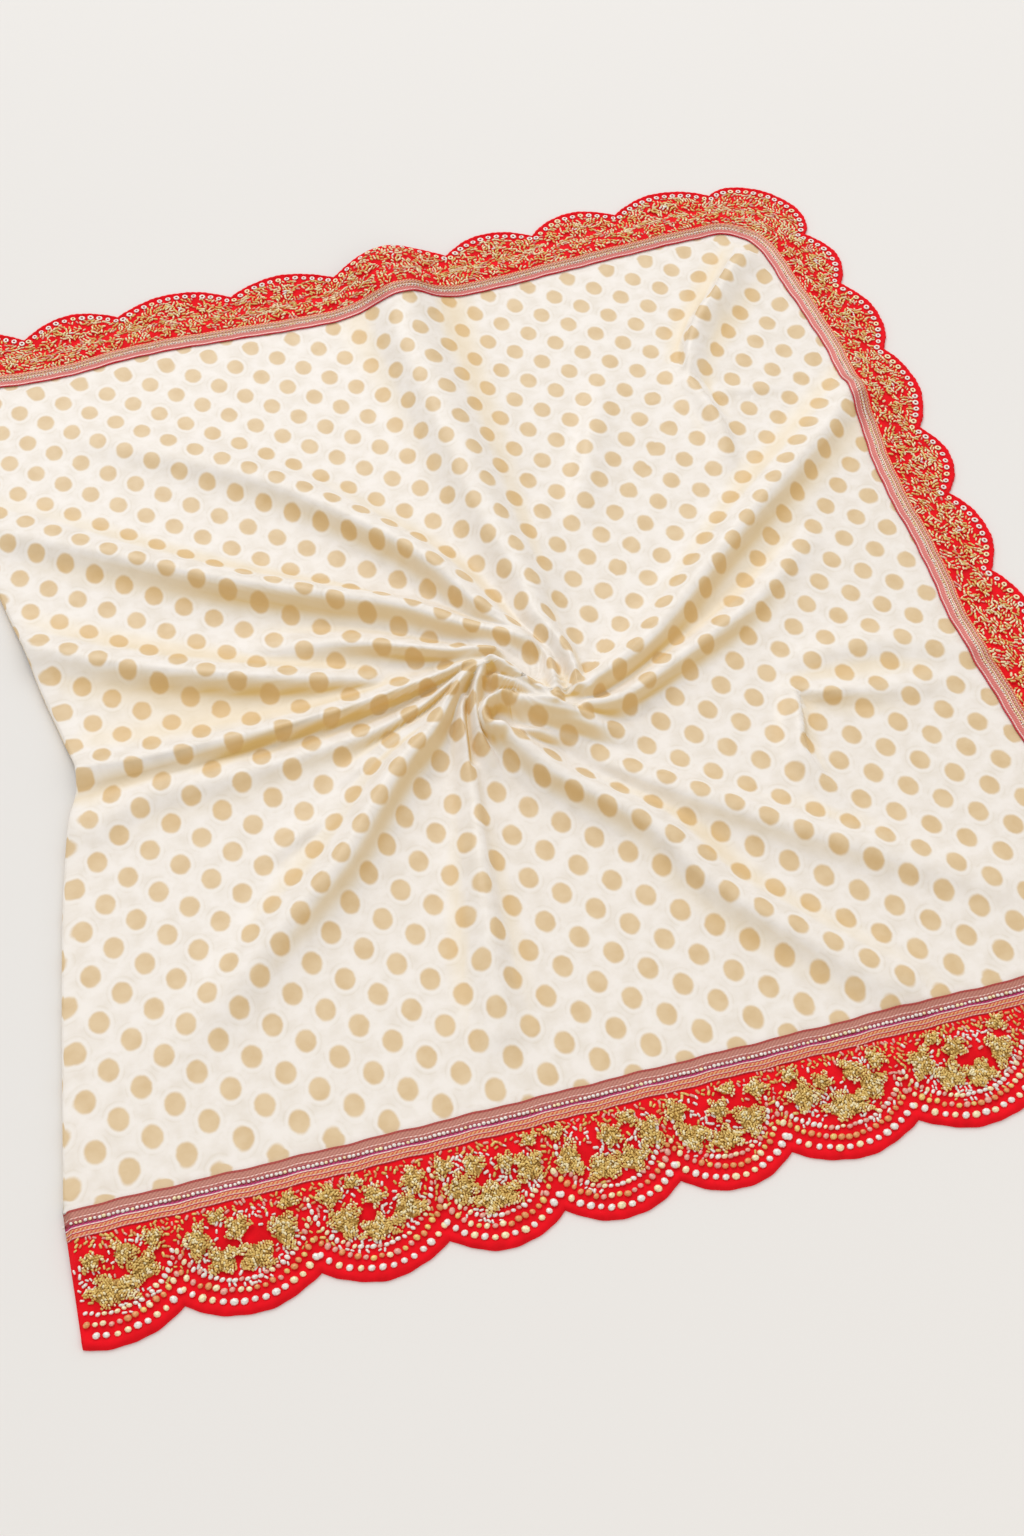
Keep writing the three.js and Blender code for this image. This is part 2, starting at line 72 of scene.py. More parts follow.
# the folds, along the part's own but in more detail: 1 where the steep side lies left of the
# crest or -1, then points of the crest as x, y, rise, steep side's width, gentle side's width
folds = [
    (1, [(24, -34, 14, 10, 8), (2, 22, 25, 16, 9), (-28, 86, 27, 18, 11), (-71, 145, 24, 18, 13),
         (-174, 252, 13, 20, 20), (-311, 345, 4, 24, 28)]),
    (1, [(19, -30, 17, 9, 7), (-3, -7, 21, 14, 7), (-66, 48, 22, 18, 8), (-147, 87, 22, 18, 11),
         (-229, 128, 21, 18, 13), (-314, 180, 16, 18, 16), (-399, 234, 10, 20, 20),
         (-428, 248, 7, 20, 20)]),
    (1, [(-14, -36, 15, 7, 8), (-74, 0, 17, 9, 9), (-139, 26, 11, 12, 12), (-232, 43, 2, 14, 14)]),
    (1, [(-122, -21, 7, 8, 8), (-220, 6, 17, 13, 12), (-314, 43, 17, 15, 13), (-405, 90, 10, 17, 15)]),
    (1, [(-26, -50, 11, 4, 7), (-50, -41, 14, 5, 8), (-92, -41, 15, 6, 9), (-161, -52, 15, 7, 10),
         (-258, -59, 14, 7, 12), (-315, -61, 14, 7, 14), (-389, -63, 13, 7, 18)]),
    (1, [(-31, -52, 11, 4, 5), (-54, -54, 14, 4, 5), (-102, -70, 11, 6, 6), (-138, -80, 9, 9, 8),
         (-217, -90, 8, 12, 10), (-274, -94, 8, 14, 13), (-335, -95, 7, 15, 15), (-386, -115, 5, 16, 16)]),
    (1, [(-49, -56, 16, 6, 6), (-66, -74, 21, 9, 7), (-97, -100, 23, 15, 9), (-131, -127, 24, 19, 11),
         (-197, -206, 21, 21, 13), (-245, -248, 16, 21, 14), (-291, -292, 9, 22, 16),
         (-337, -336, 2, 22, 20)]),
    (1, [(-66, -147, 9, 8, 9), (-83, -235, 14, 12, 11), (-95, -317, 13, 14, 12), (-103, -394, 6, 15, 15)]),
    (-1, [(-29, -117, 18, 9, 7), (-12, -137, 20, 13, 8), (13, -167, 21, 16, 9), (47, -203, 20, 18, 11),
          (81, -243, 19, 19, 13), (110, -308, 17, 18, 14), (145, -356, 16, 17, 15),
          (209, -434, 9, 17, 18)]),
    (-1, [(18, -127, 4, 10, 9), (56, -163, 8, 13, 11), (119, -215, 14, 18, 13), (186, -267, 14, 19, 14),
          (239, -304, 13, 19, 16), (331, -367, 5, 20, 20)]),
    (-1, [(52, -111, 12, 8, 6), (81, -104, 16, 10, 8), (141, -72, 15, 13, 10), (212, -36, 14, 13, 11),
          (257, -5, 10, 12, 11), (314, 40, 3, 11, 12)]),
    (-1, [(55, -96, 16, 6, 7), (68, -82, 19, 10, 9), (98, -59, 20, 15, 11), (139, -29, 20, 17, 12),
          (262, 81, 20, 19, 14), (338, 142, 17, 18, 15), (420, 208, 13, 18, 18)]),
    (1, [(48, -94, 14, 5, 4), (53, -72, 18, 7, 4), (52, -37, 20, 13, 6), (47, 1, 21, 19, 8),
         (49, 49, 21, 24, 12), (38, 139, 21, 30, 16), (34, 205, 22, 33, 20), (28, 304, 22, 35, 24),
         (21, 435, 23, 36, 28), (20, 512, 24, 38, 30)]),
    (1, [(46, -2, 3, 8, 9), (65, 57, 5, 10, 12), (77, 141, 3, 12, 14)]),
    (-1, [(380, 431, 12, 7, 14), (340, 380, 17, 7, 13), (301, 338, 15, 6, 12), (279, 290, 11, 6, 11),
          (266, 252, 3, 8, 10)]),
    (-1, [(234, -130, 5, 5, 9), (262, -141, 10, 6, 10), (319, -152, 7, 8, 11), (373, -154, 2, 10, 12)]),
    (1, [(236, -134, 6, 4, 8), (225, -170, 11, 5, 9), (218, -206, 9, 6, 10), (236, -282, 1, 10, 12)]),
]
# creases too small for the part's source, in the same form: the two gathered spots of the
# pinch with the ridges between them, and short ones out on the cloth
creases = [
    (1, [(-36, -53, 12, 4, 5), (-61, -68, 15, 4, 5), (-90, -83, 12, 5, 6), (-122, -96, 8, 7, 7),
         (-167, -122, 3, 8, 8)]),
    (1, [(-28, -54, 14, 4, 4), (-40, -73, 19, 5, 4), (-47, -96, 18, 5, 4), (-49, -119, 15, 5, 5),
         (-42, -150, 3, 8, 8)]),
    (1, [(-51, -74, 10, 4, 4), (-59, -91, 16, 5, 5), (-64, -118, 15, 4, 6), (-69, -147, 10, 4, 8),
         (-74, -176, 3, 6, 9)]),
    (-1, [(-15, -89, 15, 6, 6), (-25, -87, 18, 5, 5), (-35, -91, 19, 5, 5), (-39, -100, 20, 5, 5),
          (-38, -111, 20, 5, 6), (-27, -120, 20, 6, 7)]),
    (-1, [(-18, -87, 15, 8, 6), (2, -100, 17, 10, 7), (24, -113, 18, 11, 7), (48, -126, 15, 12, 9),
          (75, -138, 5, 14, 12)]),
    (-1, [(-15, -119, 8, 4, 5), (1, -127, 12, 4, 6), (21, -135, 3, 6, 7)]),
    (1, [(27, -102, 12, 4, 4), (30, -78, 15, 5, 4), (33, -49, 11, 5, 5), (34, -24, 3, 6, 6)]),
    (-1, [(-19, -47, 16, 5, 5), (-9, -60, 19, 5, 6), (14, -93, 17, 4, 6), (23, -109, 15, 4, 5)]),
    (-1, [(-20, -66, 13, 5, 4), (-3, -80, 15, 5, 4), (15, -103, 12, 4, 4)]),
    (-1, [(177, 282, 2, 10, 14), (156, 221, 6, 11, 16), (127, 158, 5, 11, 16), (105, 110, 1, 12, 14)]),
    (1, [(264, 290, 5, 6, 9), (272, 238, 10, 7, 10), (276, 188, 8, 8, 11), (266, 138, 1, 10, 12)]),
    (-1, [(284, 254, 1, 5, 7), (319, 243, 4, 5, 7), (368, 237, 1, 5, 8)]),
    (-1, [(245, -99, 2, 10, 13), (320, -97, 6, 11, 14), (426, -132, 2, 12, 14)]),
    (1, [(-300, 45, 1, 6, 9), (-345, 59, 4, 6, 9), (-399, 87, 3, 7, 9)]),
    (1, [(-196, -160, 3, 7, 7), (-222, -172, 5, 7, 8), (-250, -188, 1, 8, 8)]),
]
foldForm = {"pieceLong": 13.0, "fewestPieces": 8, "mostPieces": 32, "flatTop": 2.8}


def ease(t):
    s = np.clip(t, 0, 1)
    return s * s * (3 - 2 * s)


def mix(a, b, t):
    return a + (b - a) * t


# the distance along a row of points, from 0 at the first
def runAlong(points):
    return np.concatenate([[0], np.cumsum(np.hypot(*np.diff(points, axis=0).T))])


# a smooth line through points that is read by distance from its start
class SmoothLine:

    steps = 80  # short pieces between two points

    def __init__(self, points):
        p = np.array(points, float)
        p = np.vstack([2 * p[0] - p[1], p, 2 * p[-1] - p[-2]])
        t = np.linspace(0, 1, self.steps, endpoint=False)[:, None]
        runs = []
        for a, b, c, d in zip(p, p[1:], p[2:], p[3:]):
            runs.append(0.5 * (2 * b + (c - a) * t + (2 * a - 5 * b + 4 * c - d) * t ** 2
                               + (3 * b - a - 3 * c + d) * t ** 3))
        self.points = np.vstack(runs + [p[-2][None]])
        self.marks = runAlong(self.points)
        self.length = self.marks[-1]
        tangent = np.gradient(self.points, axis=0)
        self.tangent = tangent / np.linalg.norm(tangent, axis=1)[:, None]

    # places at distances along the line, and the direction out of the cloth there
    def at(self, s):
        s = np.asarray(s, float)
        inside = np.clip(s, 0, self.length)
        x, y = (np.interp(inside, self.marks, self.points[:, k]) for k in (0, 1))
        tx, ty = (np.interp(inside, self.marks, self.tangent[:, k]) for k in (0, 1))
        past = s - inside
        return x + tx * past, y + ty * past, ty, -tx

    # the same places moved outwards
    def beside(self, s, out):
        x, y, nx, ny = self.at(s)
        return np.stack([x + nx * out, y + ny * out], axis=-1)


lines = {name: SmoothLine(lay[name]) for name in ("near", "end", "far", "fold")}


# a fold's crest as short straight pieces with the rise and both widths at their ends
def foldPath(side, points):
    points = np.array(points, float)
    line = SmoothLine(points[:, :2])
    count = int(np.clip(line.length / foldForm["pieceLong"], foldForm["fewestPieces"],
                        foldForm["mostPieces"]))
    s = np.linspace(0, line.length, count + 1)
    marks = np.append(line.marks[:-1][::line.steps], line.length)
    x, y = (np.interp(s, line.marks, line.points[:, k]) for k in (0, 1))
    rise, steep, gentle = (np.interp(s, marks, points[:, k]) for k in (2, 3, 4))
    return {"x": x, "y": y, "rise": rise, "steep": steep, "gentle": gentle, "side": side}


foldPaths = [foldPath(side, points) for side, points in folds + creases]


# how high one fold lifts the cloth, and the direction of its steep side
def oneFold(path, x, y):
    nearest = np.full(x.shape, 1e9)
    lift, leanX, leanY = (np.zeros(x.shape) for _ in range(3))
    for i in range(len(path["x"]) - 1):
        ax, ay, bx, by = path["x"][i], path["y"][i], path["x"][i + 1], path["y"][i + 1]
        dx, dy = bx - ax, by - ay
        long = dx * dx + dy * dy
        t = np.clip(((x - ax) * dx + (y - ay) * dy) / long, 0, 1)
        ox, oy = x - ax - dx * t, y - ay - dy * t
        away = np.hypot(ox, oy)
        closer = away < nearest
        nearest = np.where(closer, away, nearest)
        across = (dx * oy - dy * ox) / math.sqrt(long) * path["side"]
        steepShare = 0.5 + 0.5 * across / np.maximum(away, 1e-6)
        wide = mix(mix(path["gentle"][i], path["gentle"][i + 1], t),
                   mix(path["steep"][i], path["steep"][i + 1], t), steepShare)
        value = mix(path["rise"][i], path["rise"][i + 1], t) / (1 + (away / wide) ** foldForm["flatTop"])
        lift = np.where(closer, value, lift)
        leanX = np.where(closer, -dy / math.sqrt(long) * path["side"], leanX)
        leanY = np.where(closer, dx / math.sqrt(long) * path["side"], leanY)
    return lift, leanX, leanY


# the lift of all folds together and how far the cloth leans over sideways
def foldLift(x, y):
    total, pushX, pushY = (np.zeros(x.shape) for _ in range(3))
    for path in foldPaths:
        lift, leanX, leanY = oneFold(path, x, y)
        weight = lift ** lay["sharing"]
        total += weight
        pushX += weight * leanX
        pushY += weight * leanY
    lift = total ** (1 / lay["sharing"])
    share = np.where(total > 1e-6, lift / np.maximum(total, 1e-6), 0)
    fromPinch = np.hypot(x - lay["pinch"][0], y - lay["pinch"][1])
    mound = lay["moundHigh"] * np.exp(-((fromPinch / lay["moundWide"]) ** 2))
    for gx, gy in lay["gathers"]:
        apart = (x - gx) ** 2 + (y - gy) ** 2
        mound = mound + lay["gatherHigh"] * np.exp(-(apart / lay["gatherWide"] ** 2))
    return lift + mound, pushX * share, pushY * share


foldRun = lines["fold"].at(np.linspace(0, lines["fold"].length, 91))


def fromFold(x, y):
    return x - np.interp(y, foldRun[1][::-1], foldRun[0][::-1])


# the height of what the cloth lies on: the layers, and for a border the table past their edge
def bedHeight(x, y, out=None, leaves=None):
    if leaves is None:
        return np.full(x.shape, lay["layersHigh"] + lay["gap"])
    down = ease((out - leaves[0]) / (leaves[1] - leaves[0]))
    roll = lay["rollHigh"] * (1 - ease(fromFold(x, y) / lay["rollWide"]))
    return (lay["layersHigh"] + lay["gap"]) * (1 - down) * (1 - roll)


# a mesh object from points in millimetres; uv is one pair a point, in metres
def meshOf(name, spots, quads, triangles=(), uv=None):
    shift = np.array([*lay["toOrigin"], 0.0])
    spots = (np.asarray(spots, float) + shift) * mm
    quads = np.asarray(quads, np.int32).reshape(-1, 4)
    triangles = np.asarray(triangles, np.int32).reshape(-1, 3)
    corners = np.concatenate([quads.ravel(), triangles.ravel()])
    starts = np.concatenate([np.arange(len(quads)) * 4, quads.size + np.arange(len(triangles)) * 3])
    mesh = bpy.data.meshes.new(name)
    mesh.vertices.add(len(spots))
    mesh.vertices.foreach_set("co", spots.astype(np.float32).ravel())
    mesh.loops.add(len(corners))
    mesh.loops.foreach_set("vertex_index", corners.astype(np.int32))
    mesh.polygons.add(len(starts))
    mesh.polygons.foreach_set("loop_start", starts.astype(np.int32))
    mesh.update(calc_edges=True)
    if uv is not None:
        layer = mesh.uv_layers.new(name="weave")
        layer.data.foreach_set("uv", np.asarray(uv, np.float32)[corners].ravel())
    mesh.polygons.foreach_set("use_smooth", [True] * len(mesh.polygons))
    piece = bpy.data.objects.new(name, mesh)
    bpy.context.scene.collection.objects.link(piece)
    return piece


# a tone for each point of a piece, which its material reads by name
def setTone(piece, name, values):
    layer = piece.data.attributes.new(name, "FLOAT", "POINT")
    layer.data.foreach_set("value", np.asarray(values, np.float32))


# gives a piece its material and its place in the frame
def settle(piece, material, replaced=None):
    piece.data.materials.append(material)
    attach(piece, "root")
    if replaced:
        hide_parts(replaced)
    return piece


# opens one piece alone in edit mode, with everything in it selected
def editAll(piece):
    bpy.ops.object.select_all(action="DESELECT")
    bpy.context.view_layer.objects.active = piece
    piece.select_set(True)
    bpy.ops.object.mode_set(mode="EDIT")
    bpy.ops.mesh.select_all(action="SELECT")


def gridQuads(wide, high, closed):
    last = wide if closed else wide - 1
    i, j = np.meshgrid(np.arange(last), np.arange(high - 1), indexing="ij")
    a = (i * high + j).ravel()
    b = (((i + 1) % wide) * high + j).ravel()
    return np.stack([a, a + 1, b + 1, b], axis=1)


# the upward directions on a grid that closes round its middle
def gridNormals(grid):
    along = np.roll(grid, -1, 0) - np.roll(grid, 1, 0)
    out = np.gradient(grid, axis=1)
    n = np.cross(out, along)
    n = n / np.maximum(np.linalg.norm(n, axis=2), 1e-9)[:, :, None]
    return np.where(n[:, :, 2:].mean() < 0, -n, n)


# an sRGB hex colour as linear red, green, blue and alpha
def hexToLinear(code):
    parts = [int(code[i:i + 2], 16) / 255 for i in (0, 2, 4)]
    return (*[p / 12.92 if p <= 0.04045 else ((p + 0.055) / 1.055) ** 2.4 for p in parts], 1.0)


# fills a socket from another socket, a hex colour or a plain value
def feed(tree, socket, value):
    if isinstance(value, bpy.types.NodeSocket):
        tree.links.new(value, socket)
    else:
        socket.default_value = hexToLinear(value) if isinstance(value, str) else value


def addNode(tree, kind, settings=None, inputs=None):
    node = tree.nodes.new(kind)
    for name, value in (settings or {}).items():
        setattr(node, name, value)
    for name, value in (inputs or {}).items():
        feed(tree, node.inputs[name], value)
    return node


def newMaterial(name, shaderInputs):
    material = bpy.data.materials.new(name)
    material.use_nodes = True
    tree = material.node_tree
    shader = tree.nodes["Principled BSDF"]
    for key, value in shaderInputs.items():
        feed(tree, shader.inputs[key], value)
    return material, tree, shader


# the nodes that the materials share, each with its inputs in order
def maths(tree, operation, *values):
    return addNode(tree, "ShaderNodeMath", {"operation": operation}, dict(enumerate(values))).outputs[0]


def vectorMaths(tree, operation, *values, result="Vector"):
    node = addNode(tree, "ShaderNodeVectorMath", {"operation": operation}, dict(enumerate(values)))
    return node.outputs[result]


def scaled(tree, vector, share):
    node = addNode(tree, "ShaderNodeVectorMath", {"operation": "SCALE"}, {0: vector, "Scale": share})
    return node.outputs["Vector"]


def noise(tree, place, scale, detail, result="Fac"):
    node = addNode(tree, "ShaderNodeTexNoise", None, {"Vector": place, "Scale": scale, "Detail": detail})
    return node.outputs[result]


def remap(tree, value, low, high, toLow=0.0, toHigh=1.0, kind="LINEAR"):
    return addNode(tree, "ShaderNodeMapRange", {"interpolation_type": kind}, {
        "Value": value, "From Min": low, "From Max": high, "To Min": toLow, "To Max": toHigh,
    }).outputs["Result"]


def blend(tree, factor, first, second):
    return addNode(tree, "ShaderNodeMix", {"data_type": "RGBA"}, {0: factor, 6: first, 7: second}).outputs[2]


# colours along a factor, as places from 0 to 1 with hex colours
def colourRamp(tree, factor, stops, kind="LINEAR"):
    node = addNode(tree, "ShaderNodeValToRGB", None, {"Fac": factor})
    node.color_ramp.interpolation = kind
    elements = node.color_ramp.elements
    for k, (place, code) in enumerate(stops):
        element = elements[k] if k < 2 else elements.new(place)
        element.position = place
        element.color = hexToLinear(code)
    return node.outputs["Color"]


def addBump(tree, shader, height, strength, distance):
    bump = addNode(tree, "ShaderNodeBump", None, {
        "Height": height, "Strength": strength, "Distance": distance})
    feed(tree, shader.inputs["Normal"], bump.outputs["Normal"])


# silk satin, woven cream with round gold brocade dots and a soft sheen, with painted gold shade where the
# cloth turns from the light and in the hollows between folds
def silkMaterial():
    look = {
        "ground": "EFE9E2", "cloud": "E5DDD2", "halo": "EDE7DF", "arc": "DCD2C2",
        # after the dots' own two colours, the next three are painted shade: a darker gold for the dots and
        # two golds for the cloth
        "dot": "DDC49C", "dimDot": "D4B88C", "deep": "DBB066", "paintedShadeGold": "EEDCB6", "paintedShadeDeepGold": "E0BA6E",
        "dotSpacing": 0.044, "dotRadius": 0.0083, "dotOval": 0.8, "dotSoft": 0.0014,
        "haloRadius": 0.0106, "haloSoft": 0.0012,
        "arcFrom": 0.0119, "arcTo": 0.0128, "arcSoft": 0.0006, "arcStrong": 0.4,
        "stray": 0.0016, "strayScale": 160.0, "cloudScale": 60.0, "thread": 0.0011,
    }
    material, tree, shader = newMaterial("silkSatinGoldDots", {
        "Roughness": 0.44, "Specular IOR Level": 0.4, "Sheen Weight": 0.1, "Sheen Roughness": 0.35,
    })
    uv = addNode(tree, "ShaderNodeUVMap", {"uv_map": "weave"}).outputs["UV"]
    # dots at the corners and in the middles of even squares, with slightly wavering outlines
    wobble = noise(tree, uv, look["strayScale"], 2.0, "Color")
    nudged = vectorMaths(tree, "MULTIPLY_ADD", wobble, (look["stray"], look["stray"], 0), uv)
    cell = scaled(tree, nudged, 1 / look["dotSpacing"])
    distances = []
    for offset in (0.0, 0.5):
        part = vectorMaths(tree, "FRACTION", vectorMaths(tree, "ADD", cell, (offset, offset, 0)))
        centred = vectorMaths(tree, "SUBTRACT", part, (0.5, 0.5, 0))
        oval = vectorMaths(tree, "MULTIPLY", centred, (1, look["dotOval"], 0))
        distances.append(vectorMaths(tree, "LENGTH", oval, result="Value"))
    reach = maths(tree, "MULTIPLY", maths(tree, "MINIMUM", *distances), look["dotSpacing"])

    def disc(radius, soft):
        return remap(tree, reach, radius - soft, radius + soft, 1.0, 0.0, "SMOOTHSTEP")

    cloudy = noise(tree, uv, look["cloudScale"], 3.0)
    ring = maths(tree, "SUBTRACT", disc(look["arcTo"], look["arcSoft"]),
                 disc(look["arcFrom"], look["arcSoft"]))
    arcs = maths(tree, "MULTIPLY", ring, remap(tree, cloudy, 0.42, 0.62, 0.0, look["arcStrong"]))
    patchy = remap(tree, cloudy, 0.36, 0.68)
    ground = blend(tree, arcs, blend(tree, patchy, look["ground"], look["cloud"]), look["arc"])
    halo = blend(tree, disc(look["haloRadius"], look["haloSoft"]), ground, look["halo"])
    # painted shade: the cloth and its dots turn gold by the painted gold shade that each point carries
    shade = addNode(tree, "ShaderNodeAttribute", {"attribute_name": "paintedGoldShade"}).outputs["Fac"]
    gold = colourRamp(tree, shade, [(0.3, look["paintedShadeGold"]), (1.0, look["paintedShadeDeepGold"])])
    cloth = blend(tree, remap(tree, shade, 0.12, 0.85), halo, gold)
    dot = blend(tree, shade, blend(tree, patchy, look["dot"], look["dimDot"]), look["deep"])
    colour = blend(tree, disc(look["dotRadius"], look["dotSoft"]), cloth, dot)
    feed(tree, shader.inputs["Base Color"], colour)
    addBump(tree, shader, noise(tree, uv, 1 / look["thread"], 1.0), 0.06, 0.0003)
    return material


# lays some columns and rings of the silk, one in every step, out flat with the least stretch:
# the places on the flat cloth, the middle's last, and which columns and rings they are
def unwrapFlat(name, grid, centre, step):
    columns = np.arange(0, grid.shape[0], step)
    rings = np.unique(np.concatenate([np.arange(1, grid.shape[1], step), [grid.shape[1] - 1]]))
    coarse = grid[columns][:, rings]
    wide, high = coarse.shape[:2]
    spots = np.vstack([coarse.reshape(-1, 3), centre[None]])
    hub = len(spots) - 1
    fan = [(hub, ((i + 1) % wide) * high, i * high) for i in range(wide)]
    start = (spots[:, :2] - spots[:, :2].min(0)) * mm
    piece = meshOf(name, spots, gridQuads(wide, high, True)[:, ::-1], fan, start)
    editAll(piece)
    bpy.ops.uv.select_all(action="SELECT")
    bpy.ops.uv.unwrap(method="MINIMUM_STRETCH", margin=0.0, iterations=60, no_flip=True)
    bpy.ops.object.mode_set(mode="OBJECT")
    corner = np.zeros(len(piece.data.loops), np.int32)
    piece.data.loops.foreach_get("vertex_index", corner)
    flat = np.zeros(len(corner) * 2, np.float32)
    piece.data.uv_layers["weave"].data.foreach_get("uv", flat)
    uv = np.zeros((len(spots), 2))
    uv[corner] = flat.reshape(-1, 2)
    bpy.data.objects.remove(piece, do_unlink=True)
    return uv, columns, rings


silk = {
    "columns": {"near": 96, "end": 92, "far": 92, "fold": 80},
    "fineRings": 66, "rings": 172, "coarsest": 4.0, "underEvery": 3, "wall": 0.9, "unwrapStep": 4,
    "softPasses": 3, "softReach": 85.0, "softShare": 0.7,
    "edgeInside": [10.0, 6.5, 4.0, 2.2, 0.9, 0.0], "lastStep": 3.0, "rollRadius": 3.3,
    "rollTurn": 155.0,
    "lean": 0.42, "leanFrom": 35.0, "leanGrows": 70.0, "leanEnds": 60.0,
    "pleats": 23, "pleatHigh": 0.35, "pleatReach": 80.0, "pleatGrows": 30.0,
    "dotTurn": -3.0, "dotShift": (0.006, 0.004),
    # the light's direction, and the painted gold shade on slopes turned from it and in the hollows between
    # folds
    "light": (-0.10, 0.80, 0.60), "turnedFrom": 0.52, "turnedFull": 0.8, "turnedPaintedShade": 0.72,
    "hollowPaintedShade": 0.5, "hollowDeep": 2.8, "hollowPasses": 3,
}


# averages a field with its neighbours round and out, by a share for each point
def soften(field, share):
    around = (np.roll(field, 1, 0) + np.roll(field, -1, 0)) / 2
    padded = np.pad(field, ((0, 0), (1, 1)), mode="edge")
    outward = (padded[:, 2:] + padded[:, :-2]) / 2
    return mix(field, (around + outward) / 2, share * silk["softShare"])


# points round the edge of the silk, and which of them lie on the left fold
def silkEdge():
    edge, onFold = [], []
    for name, count in silk["columns"].items():
        edge.append(lines[name].beside(np.arange(count) / count * lines[name].length, 0))
        onFold.append(np.full(count, name == "fold"))
    return np.vstack(edge), np.concatenate(onFold)


# how far out each ring lies, as a share of the way from the pinch to the edge: fine ones near
# the pinch, coarser ones further out, and the last at set distances from the edge
def ringShares(reach):
    spare = silk["rings"] - silk["fineRings"]
    grown = np.cumsum([*np.ones(silk["fineRings"]), *np.linspace(1, silk["coarsest"], spare)])
    inner = grown / grown[-1] * (1 - (silk["edgeInside"][0] + silk["lastStep"]) / reach)
    return np.hstack([inner, 1 - np.array(silk["edgeInside"]) / reach])


# points of the silk's upper face: twisted columns from the pinch to the seams and the left fold
def silkGrid():
    edge, onFold = silkEdge()
    pinch = np.array(lay["pinch"])
    reach = np.linalg.norm(edge - pinch, axis=1)[:, None]
    ring = ringShares(reach)
    turn = math.radians(lay["twist"]) / (1 + (ring * reach / lay["twistReach"]) ** lay["twistFade"])
    turn = turn * (1 - ring)
    dx, dy = ((edge - pinch)[:, k:k + 1] * ring for k in (0, 1))
    x = pinch[0] + dx * np.cos(turn) + dy * np.sin(turn)
    y = pinch[1] - dx * np.sin(turn) + dy * np.cos(turn)
    lift, pushX, pushY = foldLift(x, y)
    away = np.hypot(x - pinch[0], y - pinch[1])
    # small pleats between the folds, strongest near the pinch
    angle = np.arctan2(dy, dx)
    pleat = np.sin(angle * silk["pleats"] + 1.7 * np.sin(angle * 5 + 1) + 1.1 * np.sin(angle * 9))
    pleat = silk["pleatHigh"] * pleat * (away / silk["pleatGrows"])
    lift = lift + pleat * np.exp(-((away / silk["pleatReach"]) ** 1.5))
    # the cloth is too soft for sharp points where the folds gather
    soft = np.exp(-((away / silk["softReach"]) ** 3))
    for _ in range(silk["softPasses"]):
        lift, pushX, pushY = (soften(field, soft) for field in (lift, pushX, pushY))
    z = bedHeight(x, y) + lay["silkWall"] + lift
    # the folds lean over to their steep side
    fade = (ease((1 - ring) * reach / silk["leanEnds"])
            * ease((away - silk["leanFrom"]) / silk["leanGrows"]))
    x = x + pushX * silk["lean"] * fade
    y = y + pushY * silk["lean"] * fade
    # the left side rolls over and under as a soft fold
    tail, r = len(silk["edgeInside"]), silk["rollRadius"]
    for k, bend in enumerate(np.radians(np.linspace(0, silk["rollTurn"], tail))):
        j = ring.shape[1] - tail + k
        share = 1 - r * (1 - math.sin(bend)) / reach[onFold, 0]
        x[onFold, j] = pinch[0] + (edge[onFold, 0] - pinch[0]) * share
        y[onFold, j] = pinch[1] + (edge[onFold, 1] - pinch[1]) * share
        z[onFold, j] -= r * (1 - math.cos(bend))
    return np.stack([x, y, z], axis=2), np.array([*pinch, z[:, 0].mean()])


# the area of four-cornered faces, with its sign where the points are flat
def areaOf(points, quads):
    ab, ac, ad = (points[quads[:, k]] - points[quads[:, 0]] for k in (1, 2, 3))
    if points.shape[1] == 3:
        first, second = (np.linalg.norm(np.cross(u, v), axis=1) for u, v in ((ab, ac), (ac, ad)))
    else:
        first, second = (u[:, 0] * v[:, 1] - u[:, 1] * v[:, 0] for u, v in ((ab, ac), (ac, ad)))
    return 0.5 * (first + second).sum()


# each point's place on the flat cloth, true to scale, and turned so that the flat cloth lies
# over the laid one; the last value is the place of the middle
def flatWeave(grid, centre):
    wide, high = grid.shape[:2]
    flat, columns, rings = unwrapFlat("flatSilk", grid, centre, silk["unwrapStep"])
    coarse = grid[columns][:, rings]
    coarseWide, coarseHigh = coarse.shape[:2]
    quads = gridQuads(coarseWide, coarseHigh, True)
    spots = coarse.reshape(-1, 3)
    real, drawn = areaOf(spots, quads), areaOf(flat[:-1], quads)
    flat = flat * math.sqrt(real / abs(drawn)) * mm
    if drawn * areaOf(spots[:, :2], quads) < 0:
        flat[:, 0] *= -1
    rim = np.arange(coarseWide) * coarseHigh + coarseHigh - 1
    laid = spots[rim, :2] * mm
    a, b = flat[rim] - flat[rim].mean(0), laid - laid.mean(0)
    turn = math.atan2((a[:, 0] * b[:, 1] - a[:, 1] * b[:, 0]).sum(), (a * b).sum())
    turn += math.radians(silk["dotTurn"])
    spin = np.array([[math.cos(turn), math.sin(turn)], [-math.sin(turn), math.cos(turn)]])
    flat = (flat - flat[rim].mean(0)) @ spin + np.array(silk["dotShift"])
    print("silk: flat area", round(real * mm * mm, 4), "m2, flat size",
          np.round(np.ptp(flat[rim], axis=0), 3))
    hub, flat = flat[-1], flat[:-1].reshape(coarseWide, coarseHigh, 2)
    marks, turns = np.append(-1, rings), np.append(columns, wide)
    weave = np.empty((wide, high, 2))
    for k in (0, 1):
        fine = [np.interp(np.arange(high), marks, np.append(hub[k], row)) for row in flat[:, :, k]]
        fine = np.array([*fine, fine[0]])
        for j in range(high):
            weave[:, j, k] = np.interp(np.arange(wide), turns, fine[:, j])
    return weave, hub
